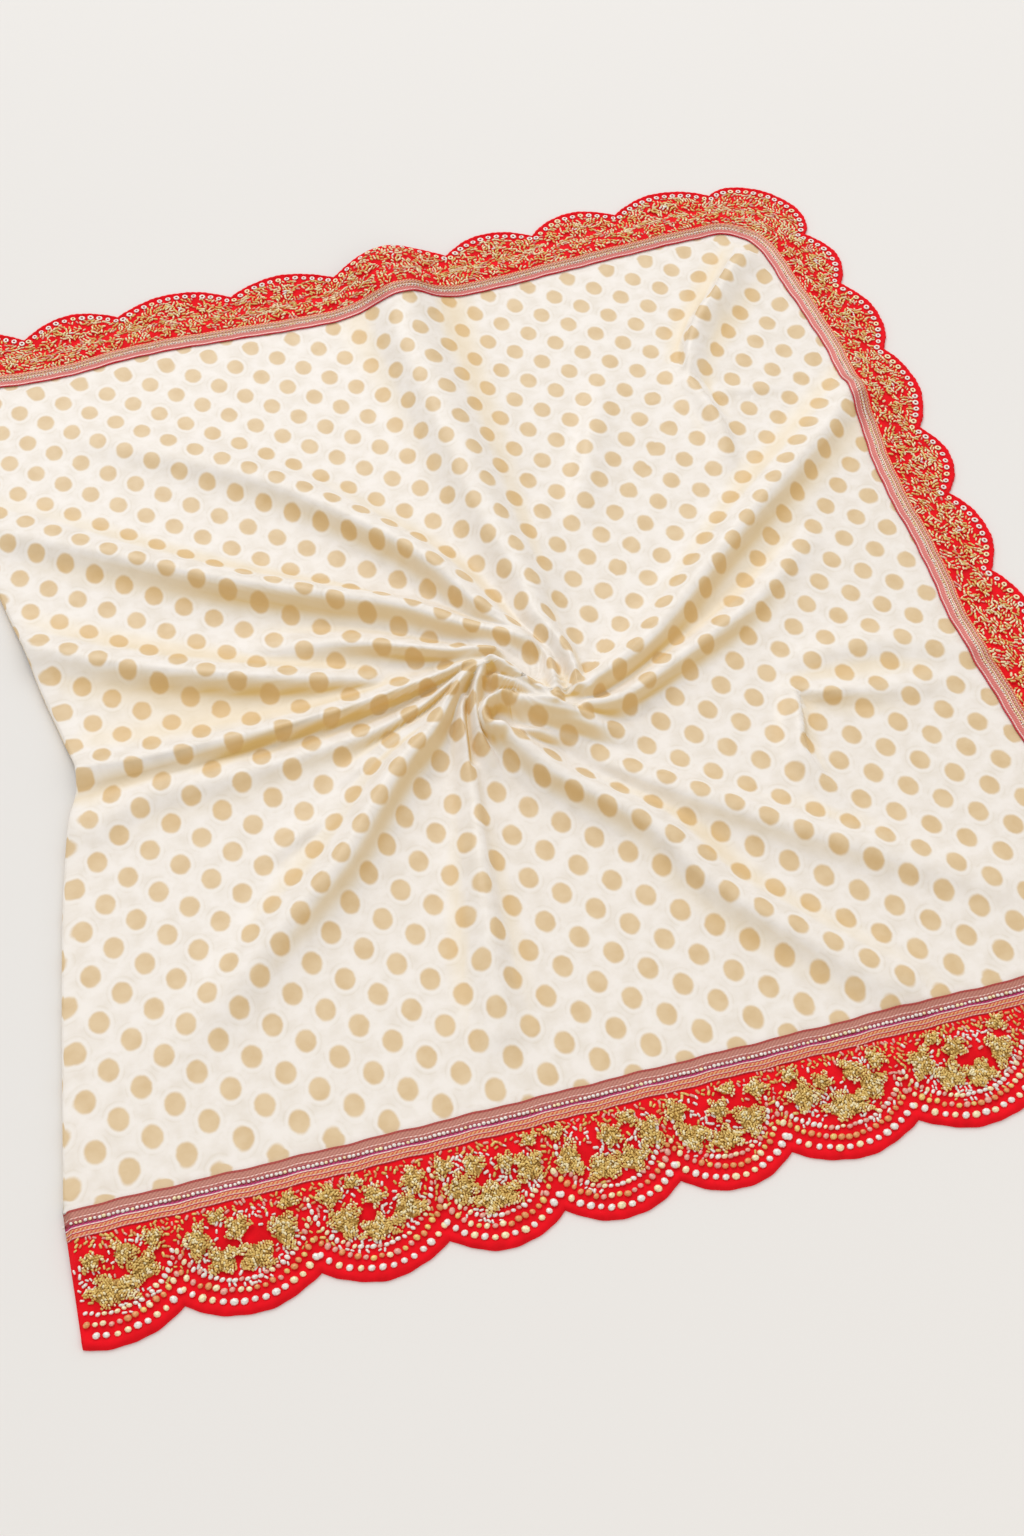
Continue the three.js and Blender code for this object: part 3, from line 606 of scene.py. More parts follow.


# painted gold shade where the cloth turns from the light, which comes from the far side and high, and
# painted shade in the hollows between folds
def paintedGoldShade(grid, normals):
    light = np.array(silk["light"])
    turned = np.clip(silk["turnedFrom"] - normals @ (light / np.linalg.norm(light)), 0, 1)
    around = grid[:, :, 2]
    for _ in range(silk["hollowPasses"]):
        around = (np.roll(around, 2, 0) + np.roll(around, -2, 0) + 2 * around) / 4
        padded = np.pad(around, ((0, 0), (2, 2)), mode="edge")
        around = (padded[:, 4:] + padded[:, :-4] + 2 * around) / 4
    hollow = np.clip((around - grid[:, :, 2]) / silk["hollowDeep"], 0, 1)
    return silk["turnedPaintedShade"] * ease(turned / silk["turnedFull"]) + silk["hollowPaintedShade"] * ease(hollow)


def silkPiece():
    grid, centre = silkGrid()
    weave, hub = flatWeave(grid, centre)
    wide, high = grid.shape[:2]
    normals = gridNormals(grid)
    # the under face keeps fewer rings
    tail = len(silk["edgeInside"])
    keep = np.unique([*range(0, high - tail, silk["underEvery"]), *range(high - tail, high)])
    under = (grid - normals * silk["wall"])[:, keep]
    low, count = len(keep), wide * high
    spots = np.vstack([grid.reshape(-1, 3), centre, under.reshape(-1, 3),
                       centre - [0, 0, silk["wall"]]])
    i, after = np.arange(wide), (np.arange(wide) + 1) % wide
    upper, lower = gridQuads(wide, high, True), gridQuads(wide, low, True) + count + 1
    rims = np.stack([after * high + high - 1, i * high + high - 1,
                     count + 1 + i * low + low - 1, count + 1 + after * low + low - 1], axis=1)
    quads = np.vstack([upper[:, ::-1], lower, rims[:, ::-1]])
    hubUnder = count + 1 + wide * low
    fan = [(count, a * high, b * high) for a, b in zip(i, after)]
    fan += [(hubUnder, count + 1 + b * low, count + 1 + a * low) for a, b in zip(i, after)]
    uv = np.vstack([weave.reshape(-1, 2), hub, weave[:, keep].reshape(-1, 2), hub])
    piece = meshOf("dottedSilk", spots, quads, fan, uv)
    # painted gold shade for each point, which the silk's material reads
    shade = paintedGoldShade(grid, normals)
    middle = [shade[:, 0].mean()]
    setTone(piece, "paintedGoldShade", np.concatenate([shade.ravel(), middle, shade[:, keep].ravel(), middle]))
    return settle(piece, silkMaterial(), "silk_panel")


print("stage: silk")
silkObject = silkPiece()


# round lobes where two borders meet on a slanting seam
def cornerLobe(first, second):
    lastCusp = [c for c in borders[first]["cusps"] if c < lines[first].length][-1]
    nextCusp = [c for c in borders[second]["cusps"] if c > 0][0]
    start = lines[first].beside(lastCusp, borders[first]["cuspDepth"])
    end = lines[second].beside(nextCusp, borders[second]["cuspDepth"])
    chord = (end - start) / np.linalg.norm(end - start)
    return {"lastCusp": lastCusp, "nextCusp": nextCusp, "start": start, "end": end,
            "outward": np.array([chord[1], -chord[0]])}


cornerAfter = {"near": cornerLobe("near", "end"), "end": cornerLobe("end", "far")}
cornerBefore = {"end": cornerAfter["near"], "far": cornerAfter["end"]}
# the borders that each one meets, at its start, 0, or its end, 1
meets = {"near": [("end", 1)], "end": [("near", 0), ("far", 1)], "far": [("end", 0)]}


def lobePoint(corner, share):
    along = ((1 - np.cos(np.pi * share)) / 2)[:, None]
    bulge = (lay["cornerBulge"] * np.sin(np.pi * share))[:, None]
    return mix(corner["start"], corner["end"], along) + corner["outward"] * bulge


# the inner seam and the scalloped outer edge of a border at distances along its line
def seamAndEdge(name, s):
    s = np.asarray(s, float)
    border, line = borders[name], lines[name]
    cusps = np.array(border["cusps"], float)
    k = np.clip(np.searchsorted(cusps, s), 1, len(cusps) - 1)
    a, b = cusps[k - 1], cusps[k]
    t = (s - a) / (b - a)
    out = (border["tipDepth"] - border["cuspDepth"]) * 4 * t * (1 - t)
    chord = mix(line.beside(a, border["cuspDepth"]), line.beside(b, border["cuspDepth"]), t[:, None])
    _, _, nx, ny = line.at(s)
    edge = chord + np.stack([nx * out, ny * out], axis=1)
    if name in cornerAfter:
        corner = cornerAfter[name]
        past = s > corner["lastCusp"]
        share = 0.5 * (s - corner["lastCusp"]) / (line.length - corner["lastCusp"])
        edge[past] = lobePoint(corner, share[past])
    if name in cornerBefore:
        corner = cornerBefore[name]
        short = s < corner["nextCusp"]
        edge[short] = lobePoint(corner, (0.5 + 0.5 * s / corner["nextCusp"])[short])
    return line.beside(s, lay["gap"] / 2), edge


# distances along a border's line, closer together round the corner lobes
def stationsOf(name, spacing):
    line = lines[name]
    stops = [0.0, *[c for c in borders[name]["cusps"] if 0 < c < line.length], line.length]
    stations = []
    for a, b in zip(stops, stops[1:]):
        fine = np.linspace(a, b, 40)
        _, edge = seamAndEdge(name, fine)
        run = np.hypot(*np.diff(edge, axis=0).T).sum()
        count = max(int(round(run / spacing)), 2)
        stations.append(np.linspace(a, b, count, endpoint=False))
    return np.concatenate([*stations, [line.length]])


# how far out a border leaves the layers and meets the table: two that share a corner agree there
def leavesAt(name, s):
    own, *others = (np.array([[borders[key]["offLayers"]], [borders[key]["onTable"]]], float)
                    for key in (name, *[key for key, _ in meets[name]]))
    leaves = np.broadcast_to(own, (2, len(s)))
    for theirs, (_, start) in zip(others, meets[name]):
        away = np.abs(s - start * lines[name].length)
        leaves = mix(leaves, (own + theirs) / 2, ease(1 - away / lay["cornerReach"]))
    return leaves


# points on a border's upper face: inward is the distance from the seam, or from the outer edge
# where fromEdge is true, both in millimetres along the border's depth
def borderTop(name, s, inward, fromEdge=False):
    s, inward = np.broadcast_arrays(np.asarray(s, float), np.asarray(inward, float))
    seam, edge = seamAndEdge(name, s.ravel())
    deep = np.linalg.norm(edge - seam, axis=1)
    out = deep - inward.ravel() if fromEdge else inward.ravel()
    spot = mix(seam, edge, (out / deep)[:, None])
    x, y = spot.T
    lift, _, _ = foldLift(x, y)
    z = bedHeight(x, y, out, leavesAt(name, s.ravel())) + lift
    return np.stack([x, y, z], axis=1).reshape(*s.shape, 3), (deep - out).reshape(s.shape)


# a closed wall: a fine upper face and a plainer under face, which keeps only some of its rows
def closedStrip(name, top, bottom, uv, keep, material, replaced=None):
    wide, high = top.shape[:2]
    low = len(keep)
    count = wide * high
    upper, under = gridQuads(wide, high, False), gridQuads(wide, low, False)
    i = np.arange(wide - 1)
    inner = np.stack([i * high, (i + 1) * high, count + (i + 1) * low, count + i * low], axis=1)
    outer = np.stack([(i + 1) * high, i * high, count + i * low, count + (i + 1) * low], axis=1)
    outer = outer + np.array([high - 1, high - 1, low - 1, low - 1])
    ends = []
    for k, (a, b) in enumerate(zip(keep, keep[1:])):
        ends += [(count + k, j, j + 1) for j in range(a, b)] + [(count + k, b, count + k + 1)]
    ends = np.array(ends)
    shift = np.where(ends < count, (wide - 1) * high, (wide - 1) * low)
    quads = np.vstack([upper[:, ::-1], under + count, inner[:, ::-1], outer[:, ::-1]])
    triangles = np.vstack([ends[:, ::-1], ends + shift])
    spots = np.vstack([top.reshape(-1, 3), bottom[:, keep].reshape(-1, 3)])
    weave = np.vstack([uv.reshape(-1, 2), uv[:, keep].reshape(-1, 2)])
    piece = meshOf(name, spots, quads, triangles, weave)
    editAll(piece)
    bpy.ops.mesh.normals_make_consistent(inside=False)
    bpy.ops.object.mode_set(mode="OBJECT")
    return settle(piece, material, replaced)


# bright red wool felt with a short nap
def feltMaterial():
    look = {"face": "F0081C", "deep": "DC0616", "nap": "FF5A4C", "fibre": 0.0012, "mottle": 0.012}
    material, tree, shader = newMaterial("redWoolFelt", {
        "Roughness": 0.9, "Specular IOR Level": 0.2, "Sheen Weight": 0.12, "Sheen Roughness": 0.5,
        "Sheen Tint": look["nap"]})
    uv = addNode(tree, "ShaderNodeUVMap", {"uv_map": "weave"}).outputs["UV"]
    mottle = noise(tree, uv, 1 / look["mottle"], 4.0)
    feed(tree, shader.inputs["Base Color"],
         colourRamp(tree, mottle, [(0.35, look["deep"]), (0.65, look["face"])]))
    addBump(tree, shader, noise(tree, uv, 1 / look["fibre"], 3.0), 0.35, 0.0006)
    return material


felt = {
    "near": {"rim": 10.0, "spacing": 2.6, "picot": 0.0},
    "end": {"rim": 5.5, "spacing": 1.6, "picot": 0.9},
    "far": {"rim": 5.5, "spacing": 1.6, "picot": 0.9},
    "flatRows": 12, "rimRows": [1.0, 0.86, 0.7, 0.52, 0.38, 0.26, 0.16, 0.08, 0.03, 0.0],
    "rimHigh": 3.7, "rimFoot": 0.5, "crest": 0.42, "picotPitch": 6.5, "strayRows": 0.6,
    # waves of the hand-cut edge: height, length over one turn, start
    "uneven": [(0.35, 7.3, 0), (0.25, 2.9, 1)],
}


# the rolled rim's height over the bed, from its outer foot at 0 to its inner side at 1
def rimProfile(a):
    outer = np.sqrt(1 - (1 - np.clip(a / felt["crest"], 0, 1)) ** 2)
    rise = mix(felt["rimFoot"], felt["rimHigh"], outer)
    inner = mix(felt["rimHigh"], lay["borderWall"], ease((a - felt["crest"]) / (1 - felt["crest"])))
    return np.where(a < felt["crest"], rise, inner)


def borderPiece(name, material):
    size = felt[name]
    s = stationsOf(name, size["spacing"])
    seam, edge = seamAndEdge(name, s)
    deep = np.linalg.norm(edge - seam, axis=1)
    flat = np.linspace(0, 1, felt["flatRows"], endpoint=False)[None, :] * (deep - size["rim"])[:, None]
    rim = deep[:, None] - np.array(felt["rimRows"])[None, :] * size["rim"]
    out = np.hstack([flat, rim])
    top, fromEdge = borderTop(name, np.broadcast_to(s[:, None], out.shape), out)
    bottom = top.copy()
    top[:, :, 2] += np.where(fromEdge < size["rim"], rimProfile(fromEdge / size["rim"]), lay["borderWall"])
    bottom[:, :, 2] += 0.02
    run = runAlong(edge)
    outward = (edge - seam) / deep[:, None]
    scallop = size["picot"] * (np.abs(np.sin(np.pi * run / felt["picotPitch"])) - 0.5)
    uneven = sum(high * np.sin(run / long + start) for high, long, start in felt["uneven"])
    share = ease(1 - fromEdge / (size["rim"] * felt["strayRows"]))[:, :, None]
    push = (scallop + uneven)[:, None, None] * share * outward[:, None, :]
    top[:, :, :2] += push
    bottom[:, :, :2] += push
    uv = np.stack([np.broadcast_to(run[:, None], out.shape), out], axis=2) * mm
    keep = [0, 3, 6, 9, felt["flatRows"], out.shape[1] - 6, out.shape[1] - 1]
    return closedStrip(f"feltBorder{name.capitalize()}", top, bottom, uv, keep, material,
                       f"border_{name}")


print("stage: borders")
feltRed = feltMaterial()
borderPieces = {name: borderPiece(name, feltRed) for name in borders}


# the braid's lanes from the silk outwards, in millimetres from the seam: from, to, how high it
# stands, its colour, a second colour, and whether the two are twisted together
braid = {
    "spacing": 2.0, "thin": 0.35, "twistPitch": 3.4, "twistHigh": 0.22, "waver": 0.42,
    "slant": 2100.0, "ribs": 6500.0, "grain": 900.0,
    "wide": [
        (-1.6, 0.5, 1.0, "B8483F", "A43A34", 0),
        (0.5, 5.2, 0.35, "BE7E6D", "A86456", 0),
        (5.2, 6.3, 0.8, "F2D2C6", "D2867C", 1),
        (6.3, 8.0, 0.3, "BE6C62", "A6524C", 0),
        (8.0, 11.3, 0.1, "A82C3C", "8E2030", 0),
        (11.3, 12.7, 1.0, "D02878", "9A1858", 0),
        (12.7, 13.8, 0.9, "FAE2DC", "EFBDB8", 1),
        (13.8, 14.5, 0.2, "C81E2C", "A81420", 0),
        (14.5, 16.9, 1.2, "EEBA78", "D0402E", 1),
        (16.9, 17.8, 0.9, "FADCD2", "EAA09C", 1),
        (17.8, 18.5, 0.2, "CC2030", "A81420", 0),
        (18.5, 20.8, 1.2, "EAB074", "D43A2C", 1),
        (20.8, 21.7, 0.9, "F8D6CA", "E08884", 1),
        (21.7, 22.4, 0.3, "CC2030", "A81420", 0),
    ],
    "narrow": [
        (-1.2, 0.3, 0.8, "D22C3C", "B81E2E", 0),
        (0.3, 1.4, 0.7, "F8D6CE", "E8A8A4", 1),
        (1.4, 5.6, 0.3, "D97C72", "C65C5A", 0),
        (5.6, 6.7, 0.8, "F8E0D0", "D87068", 1),
        (6.7, 7.4, 0.2, "A83038", "8C2028", 0),
        (7.4, 9.3, 1.1, "EACB92", "A8603C", 1),
        (9.3, 10.3, 0.7, "F8E2D6", "D88C86", 1),
        (10.3, 11.0, 0.2, "B83038", "902028", 0),
        (11.0, 12.9, 1.1, "E8C690", "A4503A", 1),
        (12.9, 13.9, 0.7, "F8DACC", "D87470", 1),
        (13.9, 14.6, 0.2, "C02830", "981C28", 0),
        (14.6, 16.4, 1.0, "EEBE84", "CC342E", 1),
    ],
}

# metallic braid: gimp cords and a ribbed lurex tape, couched side by side
def braidMaterial(name, lanes):
    material, tree, shader = newMaterial(name, {
        "Roughness": 0.42, "Specular IOR Level": 0.55, "Metallic": 0.15})
    uv = addNode(tree, "ShaderNodeUVMap", {"uv_map": "weave"}).outputs["UV"]
    parts = addNode(tree, "ShaderNodeSeparateXYZ", None, {0: uv})
    along, out = parts.outputs["X"], parts.outputs["Y"]
    inner, outer = lanes[0][0], lanes[-1][1]
    across = remap(tree, out, inner * mm, outer * mm)

    def laneColours(column):
        stops = [((lane[0] - inner) / (outer - inner), lane[column]) for lane in lanes]
        return colourRamp(tree, across, stops, "CONSTANT")

    slant = maths(tree, "MULTIPLY_ADD", along, 2 * math.pi / (braid["twistPitch"] * mm),
                  maths(tree, "MULTIPLY", out, braid["slant"]))
    grain = noise(tree, uv, braid["grain"], 2.0)
    mixed = maths(tree, "MULTIPLY_ADD", maths(tree, "SINE", slant), 0.45, grain)
    feed(tree, shader.inputs["Base Color"], blend(tree, mixed, laneColours(3), laneColours(4)))
    ribs = maths(tree, "SINE", maths(tree, "MULTIPLY", out, braid["ribs"]))
    addBump(tree, shader, ribs, 0.3, 0.0004)
    return material


def braidPiece(name, material, lanes):
    stations = stationsOf(name, braid["spacing"])
    # rows across the braid, each with how high it stands and whether it is twisted
    out, rise, twist = [], [], []
    for inner, outer, stands, _, _, twisted in lanes:
        cord = stands > 0.5
        steps = 3 if outer - inner > 1.8 else 2 if cord else 1
        for q in np.arange(steps) / steps:
            out.append(mix(inner, outer, q))
            rise.append(stands * math.sin(math.pi * q) if cord else stands)
            twist.append(twisted)
    out, rise, twist = (np.array([*column, last])[None, :] for column, last in (
        (out, lanes[-1][1]), (rise, 0.0), (twist, 0)))
    seam, _ = seamAndEdge(name, stations)
    run = runAlong(seam)[:, None]
    # sewn down by hand, so never quite straight
    waver = braid["waver"] * (np.sin(run / 10.5) + 0.6 * np.sin(run / 4.3 + 1))
    top, _ = borderTop(name, stations[:, None], out + waver)
    bottom = top.copy()
    phase = 2 * math.pi * run / braid["twistPitch"] + out * braid["slant"] * mm
    high = rise * (1 + braid["twistHigh"] * np.sin(phase) * twist)
    top[:, :, 2] += lay["borderWall"] + 0.1 + braid["thin"] + high
    bottom[:, :, 2] += lay["borderWall"] + 0.1
    uv = np.stack(np.broadcast_arrays(run, out), axis=2) * mm
    rows = out.shape[1]
    keep = [0, rows // 4, rows // 2, 3 * rows // 4, rows - 1]
    return closedStrip(f"braid{name.capitalize()}", top, bottom, uv, keep, material,
                       f"braid_{name}")


print("stage: braids")
braidKinds = {"near": "wide", "end": "narrow", "far": "narrow"}
braidLook = {kind: braidMaterial(f"couchedBraid{kind.capitalize()}", braid[kind])
             for kind in ("wide", "narrow")}
# what is sewn on each border, the braid first
trims = {name: [braidPiece(name, braidLook[kind], braid[kind])] for name, kind in braidKinds.items()}


# places on a border's upper face with the directions along it, across it and up
def placesOn(name, s, inward, fromEdge=False):
    step = 0.6
    s, inward = np.broadcast_arrays(np.asarray(s, float), np.asarray(inward, float))
    spot, edgeGap = borderTop(name, s, inward, fromEdge)
    ahead, _ = borderTop(name, s + step, inward, fromEdge)
    aside, _ = borderTop(name, s, inward + step, fromEdge)
    along, across = ahead - spot, aside - spot
    along = along / np.linalg.norm(along, axis=1)[:, None]
    up = np.cross(along, across)
    up = up / np.linalg.norm(up, axis=1)[:, None]
    up = np.where(up[:, 2:] < 0, -up, up)
    across = np.cross(up, along)
    rim = felt[name]["rim"]
    wall = np.where(edgeGap < rim, rimProfile(edgeGap / rim), lay["borderWall"])
    spot = spot + up * wall[:, None]
    return {"spot": spot, "along": along, "across": across, "up": up}


# ends the work on a small piece, and puts it away after taking its points and faces, which
# are put in order of place because a sphere's come in another order each time
def takeMesh():
    bpy.ops.object.mode_set(mode="OBJECT")
    piece = bpy.context.object
    spots = np.array([v.co[:] for v in piece.data.vertices])
    order = np.lexsort(spots.round(4).T)
    place = np.argsort(order)
    faces = []
    for face in piece.data.polygons:
        corners = [int(place[v]) for v in face.vertices]
        lowest = corners.index(min(corners))
        faces.append(corners[lowest:] + corners[:lowest])
    faces.sort()
    bpy.data.objects.remove(piece, do_unlink=True)
    quads, triangles = ([face for face in faces if len(face) == count] for count in (4, 3))
    return {"spots": spots[order], "quads": np.array(quads, int).reshape(-1, 4),
            "triangles": np.array(triangles, int).reshape(-1, 3)}


# selects in edit mode the points for which the test holds
def selectPoints(test):
    bpy.ops.mesh.select_all(action="DESELECT")
    bpy.ops.object.mode_set(mode="OBJECT")
    for v in bpy.context.object.data.vertices:
        v.select = test(v.co)
    bpy.ops.object.mode_set(mode="EDIT")


# a short length of coiled wire, one unit long and half a unit thick, drawn to a round end
def modelCoil():
    bpy.ops.object.select_all(action="DESELECT")
    bpy.ops.mesh.primitive_cylinder_add(vertices=5, radius=0.5, depth=0.66, end_fill_type="TRIFAN",
                                        rotation=(0, math.pi / 2, 0))
    bpy.ops.object.transform_apply(location=False, rotation=True, scale=False)
    bpy.ops.object.mode_set(mode="EDIT")
    for side in (1, -1):
        selectPoints(lambda co: co.x * side > 0.3 and math.hypot(co.y, co.z) < 0.1)
        bpy.ops.transform.translate(value=(0.17 * side, 0, 0))
        selectPoints(lambda co: co.x * side > 0.3 and math.hypot(co.y, co.z) > 0.1)
        bpy.ops.transform.resize(value=(1, 0.78, 0.78), center_override=(0.33 * side, 0, 0))
    return takeMesh()


# a faceted metal bead of one unit across, flattened where it is sewn down
def modelBead():
    bpy.ops.object.select_all(action="DESELECT")
    bpy.ops.mesh.primitive_uv_sphere_add(segments=8, ring_count=5, radius=0.5)
    bpy.ops.object.mode_set(mode="EDIT")
    selectPoints(lambda co: co.z > 0.45)
    bpy.ops.transform.translate(value=(0, 0, -0.13))
    selectPoints(lambda co: co.z < -0.2)
    bpy.ops.transform.resize(value=(1.25, 1.25, 0.5), center_override=(0, 0, -0.2))
    return takeMesh()


# a ring bead of one unit across with an open middle
def modelRing():
    bpy.ops.object.select_all(action="DESELECT")
    bpy.ops.mesh.primitive_torus_add(major_segments=10, minor_segments=5,
                                     major_radius=0.34, minor_radius=0.16)
    bpy.ops.object.mode_set(mode="EDIT")
    selectPoints(lambda co: math.hypot(co.x, co.y) > 0.3)
    bpy.ops.transform.resize(value=(1.0, 1.0, 0.85), center_override=(0, 0, 0))
    return takeMesh()


# a low rounded cushion of one unit across, flat below, which padding raises under the gold work
def modelPad():
    bpy.ops.object.select_all(action="DESELECT")
    bpy.ops.mesh.primitive_uv_sphere_add(segments=14, ring_count=7, radius=0.5)
    bpy.ops.object.mode_set(mode="EDIT")
    selectPoints(lambda co: co.z < -0.05)
    bpy.ops.transform.resize(value=(1, 1, 0.15), center_override=(0, 0, -0.05))
    return takeMesh()


# copies of one small piece laid at places; sizes are along, across and up, in millimetres
def copiesOf(base, places, spin, sizes, lift, tone):
    count = len(places["spot"])
    c, s = np.cos(spin)[:, None], np.sin(spin)[:, None]
    first = places["along"] * c + places["across"] * s
    second = np.cross(places["up"], first)
    local = base["spots"][None] * np.broadcast_to(sizes, (count, 3))[:, None, :]
    high = (local[:, :, 2] + np.broadcast_to(lift, count)[:, None])[:, :, None]
    spots = places["spot"][:, None] + local[:, :, :1] * first[:, None]
    spots = spots + local[:, :, 1:2] * second[:, None] + high * places["up"][:, None]
    return {"spots": spots.reshape(-1, 3), "base": base, "count": count,
            "tone": np.repeat(np.broadcast_to(tone, count), len(base["spots"]))}


# one piece from several sets of copies, with a tone for each point
def sewnPiece(name, sets, material):
    spots, quads, triangles, tones, start = [], [], [], [], 0
    for part in sets:
        each = len(part["base"]["spots"])
        jump = (np.arange(part["count"]) * each + start)[:, None, None]
        quads.append((part["base"]["quads"][None] + jump).reshape(-1, 4))
        triangles.append((part["base"]["triangles"][None] + jump).reshape(-1, 3))
        spots.append(part["spots"])
        tones.append(part["tone"])
        start += each * part["count"]
    piece = meshOf(name, np.vstack(spots), np.vstack(quads), np.vstack(triangles))
    setTone(piece, "threadTone", np.concatenate(tones))
    print(name, "has", len(piece.data.polygons), "faces in", sum(part["count"] for part in sets), "copies")
    return settle(piece, material)


# the metal threads' tones: each kind of wire or bead has its place on this scale
tones = {"shade": 0.0, "antique": 0.15, "khaki": 0.3, "gold": 0.45, "light": 0.58,
         "copper": 0.72, "rose": 0.84, "silver": 1.0}


def toneOf(kinds):
    return np.array([tones[kind] for kind in kinds])


def mostlySilver(count, share):
    return np.where(random.uniform(0, 1, count) < share, tones["silver"], tones["light"])


# gilt and silvered wire, drawn, coiled and sewn down: bright metal with a fine broken sparkle
def wireMaterial():
    look = {"shade": "8E6428", "antique": "C4983E", "khaki": "E0B862", "gold": "EDCB76", "light": "FAECBE",
            "copper": "E69A5C", "rose": "EBAA9A", "silver": "F3EEE6", "coil": 0.00045, "wear": (0.76, 1.12)}
    material, tree, shader = newMaterial("giltAndSilverWire", {
        "Metallic": 0.12, "Roughness": 0.34, "Specular IOR Level": 0.6})
    tone = addNode(tree, "ShaderNodeAttribute", {"attribute_name": "threadTone"}).outputs["Fac"]
    colour = colourRamp(tree, tone, [(place, look[kind]) for kind, place in tones.items()])
    place = addNode(tree, "ShaderNodeTexCoord").outputs["Object"]
    worn = remap(tree, noise(tree, place, 0.35 / look["coil"], 1.0), 0.3, 0.7, *look["wear"])
    feed(tree, shader.inputs["Base Color"], scaled(tree, colour, worn))
    addBump(tree, shader, noise(tree, place, 1 / look["coil"], 0.0), 0.5, 0.0003)
    return material


print("stage: embroidery")
wire = wireMaterial()
coilBase, beadBase, ringBase, padBase = modelCoil(), modelBead(), modelRing(), modelPad()


# the round of each scallop: the middle of its arc as a distance along and a depth, its
# radius, and half its width
def scallopsOf(name):
    border, found = borders[name], []
    for a, b in zip(border["cusps"], border["cusps"][1:]):
        half = (b - a) / 2
        sag = border["tipDepth"] - border["cuspDepth"]
        radius = (half ** 2 + sag ** 2) / (2 * sag)
        found.append({"s": (a + b) / 2, "deep": border["tipDepth"] - radius, "radius": radius,
                      "half": half})
    return found


# keeps from many candidate points those that stay a distance apart, in their order
def spreadOut(spots, apart):
    cells, kept = {}, []
    for k, (x, y) in enumerate(spots):
        i, j = int(x // apart), int(y // apart)
        near = [cells.get((i + p, j + q), ()) for p in (-1, 0, 1) for q in (-1, 0, 1)]
        if all((x - u) ** 2 + (y - v) ** 2 >= apart ** 2 for cell in near for u, v in cell):
            cells.setdefault((i, j), []).append((x, y))
            kept.append(k)
    return np.array(kept, int)


# the near border's work: three rows of beads round each scallop, counted from the edge,
# with padded gold leaves and flowers inside them
nearWork = {
    "rows": [
        {"inset": 9.5, "pitch": 7.4, "size": (6.4, 5.4, 4.0), "wander": 0.7,
         "tones": ("silver", "silver", "silver", "light")},
        {"inset": 18.5, "pitch": 5.6, "size": (5.6, 4.6, 3.4), "wander": 1.0,
         "tones": ("gold", "copper", "light", "rose", "copper")},
        {"inset": 26.5, "pitch": 4.5, "size": (5.0, 3.5, 3.0), "wander": 0.7,
         "tones": ("silver", "silver", "rose", "light")},
    ],
    # pads in each layout: place from the scallop's middle and the seam, length, width, turn
    # in degrees, petals
    "layouts": [
        [(2, 66, 38, 23, 4, 5), (-28, 51, 23, 23, 35, 4), (27, 55, 25, 20, -35, 4), (-11, 43, 16, 14, 0, 5),
         (13, 40, 21, 15, 50, 3), (36, 36, 17, 14, 70, 3), (-33, 31, 14, 12, 10, 4)],
        [(-8, 66, 28, 22, -12, 4), (17, 64, 23, 21, 30, 4), (-30, 53, 19, 27, 10, 3),
         (32, 47, 19, 25, -15, 4), (3, 43, 20, 16, 20, 5), (-37, 32, 15, 13, 0, 3), (18, 32, 15, 11, 0, 4)],
        [(0, 68, 29, 19, 0, 6), (-23, 57, 23, 25, 30, 3), (24, 58, 26, 20, -30, 3), (-32, 37, 17, 17, 0, 4),
         (33, 38, 17, 19, 10, 4), (2, 44, 17, 16, 0, 5), (-11, 31, 14, 10, 0, 3)],
    ],
    "apart": 2.15, "coil": (2.8, 2.4, 2.3), "padHigh": 2.7, "padShare": 0.76, "beadsFrom": 28.0,
    "looseCoil": (4.4, 2.7, 2.4), "looseApart": 4.4, "looseTries": 15000, "ends": (3, 2),
}
nearScallops = scallopsOf("near")
nearLimit = lines["near"].length - nearWork["ends"][1]


# rows of beads on rings inside each scallop, as far as they reach before the next
def scallopBeads():
    sets = []
    for arc in nearScallops:
        for row in nearWork["rows"]:
            radius = arc["radius"] - row["inset"]
            reach = math.asin(min((arc["half"] - 1.2) / radius, 1.0))
            count = int(round(2 * reach * radius / row["pitch"]))
            turn = np.linspace(-reach, reach, count) + random.uniform(-0.3, 0.3, count) / radius
            radii = radius + random.uniform(-1, 1, count) * row["wander"]
            s = arc["s"] + radii * np.sin(turn)
            deep = arc["deep"] + radii * np.cos(turn)
            ok = (s > nearWork["ends"][0]) & (s < nearLimit) & (deep > nearWork["beadsFrom"])
            places = placesOn("near", s[ok], deep[ok])
            size = np.array(row["size"]) * random.uniform(0.8, 1.12, (ok.sum(), 1))
            tone = toneOf(random.choice(row["tones"], ok.sum()))
            spin = -turn[ok] + random.uniform(-0.35, 0.35, ok.sum())
            sets.append(copiesOf(beadBase, places, spin, size, size[:, 2] * 0.3, tone))
    return sewnPiece("scallopBeads", sets, wire)


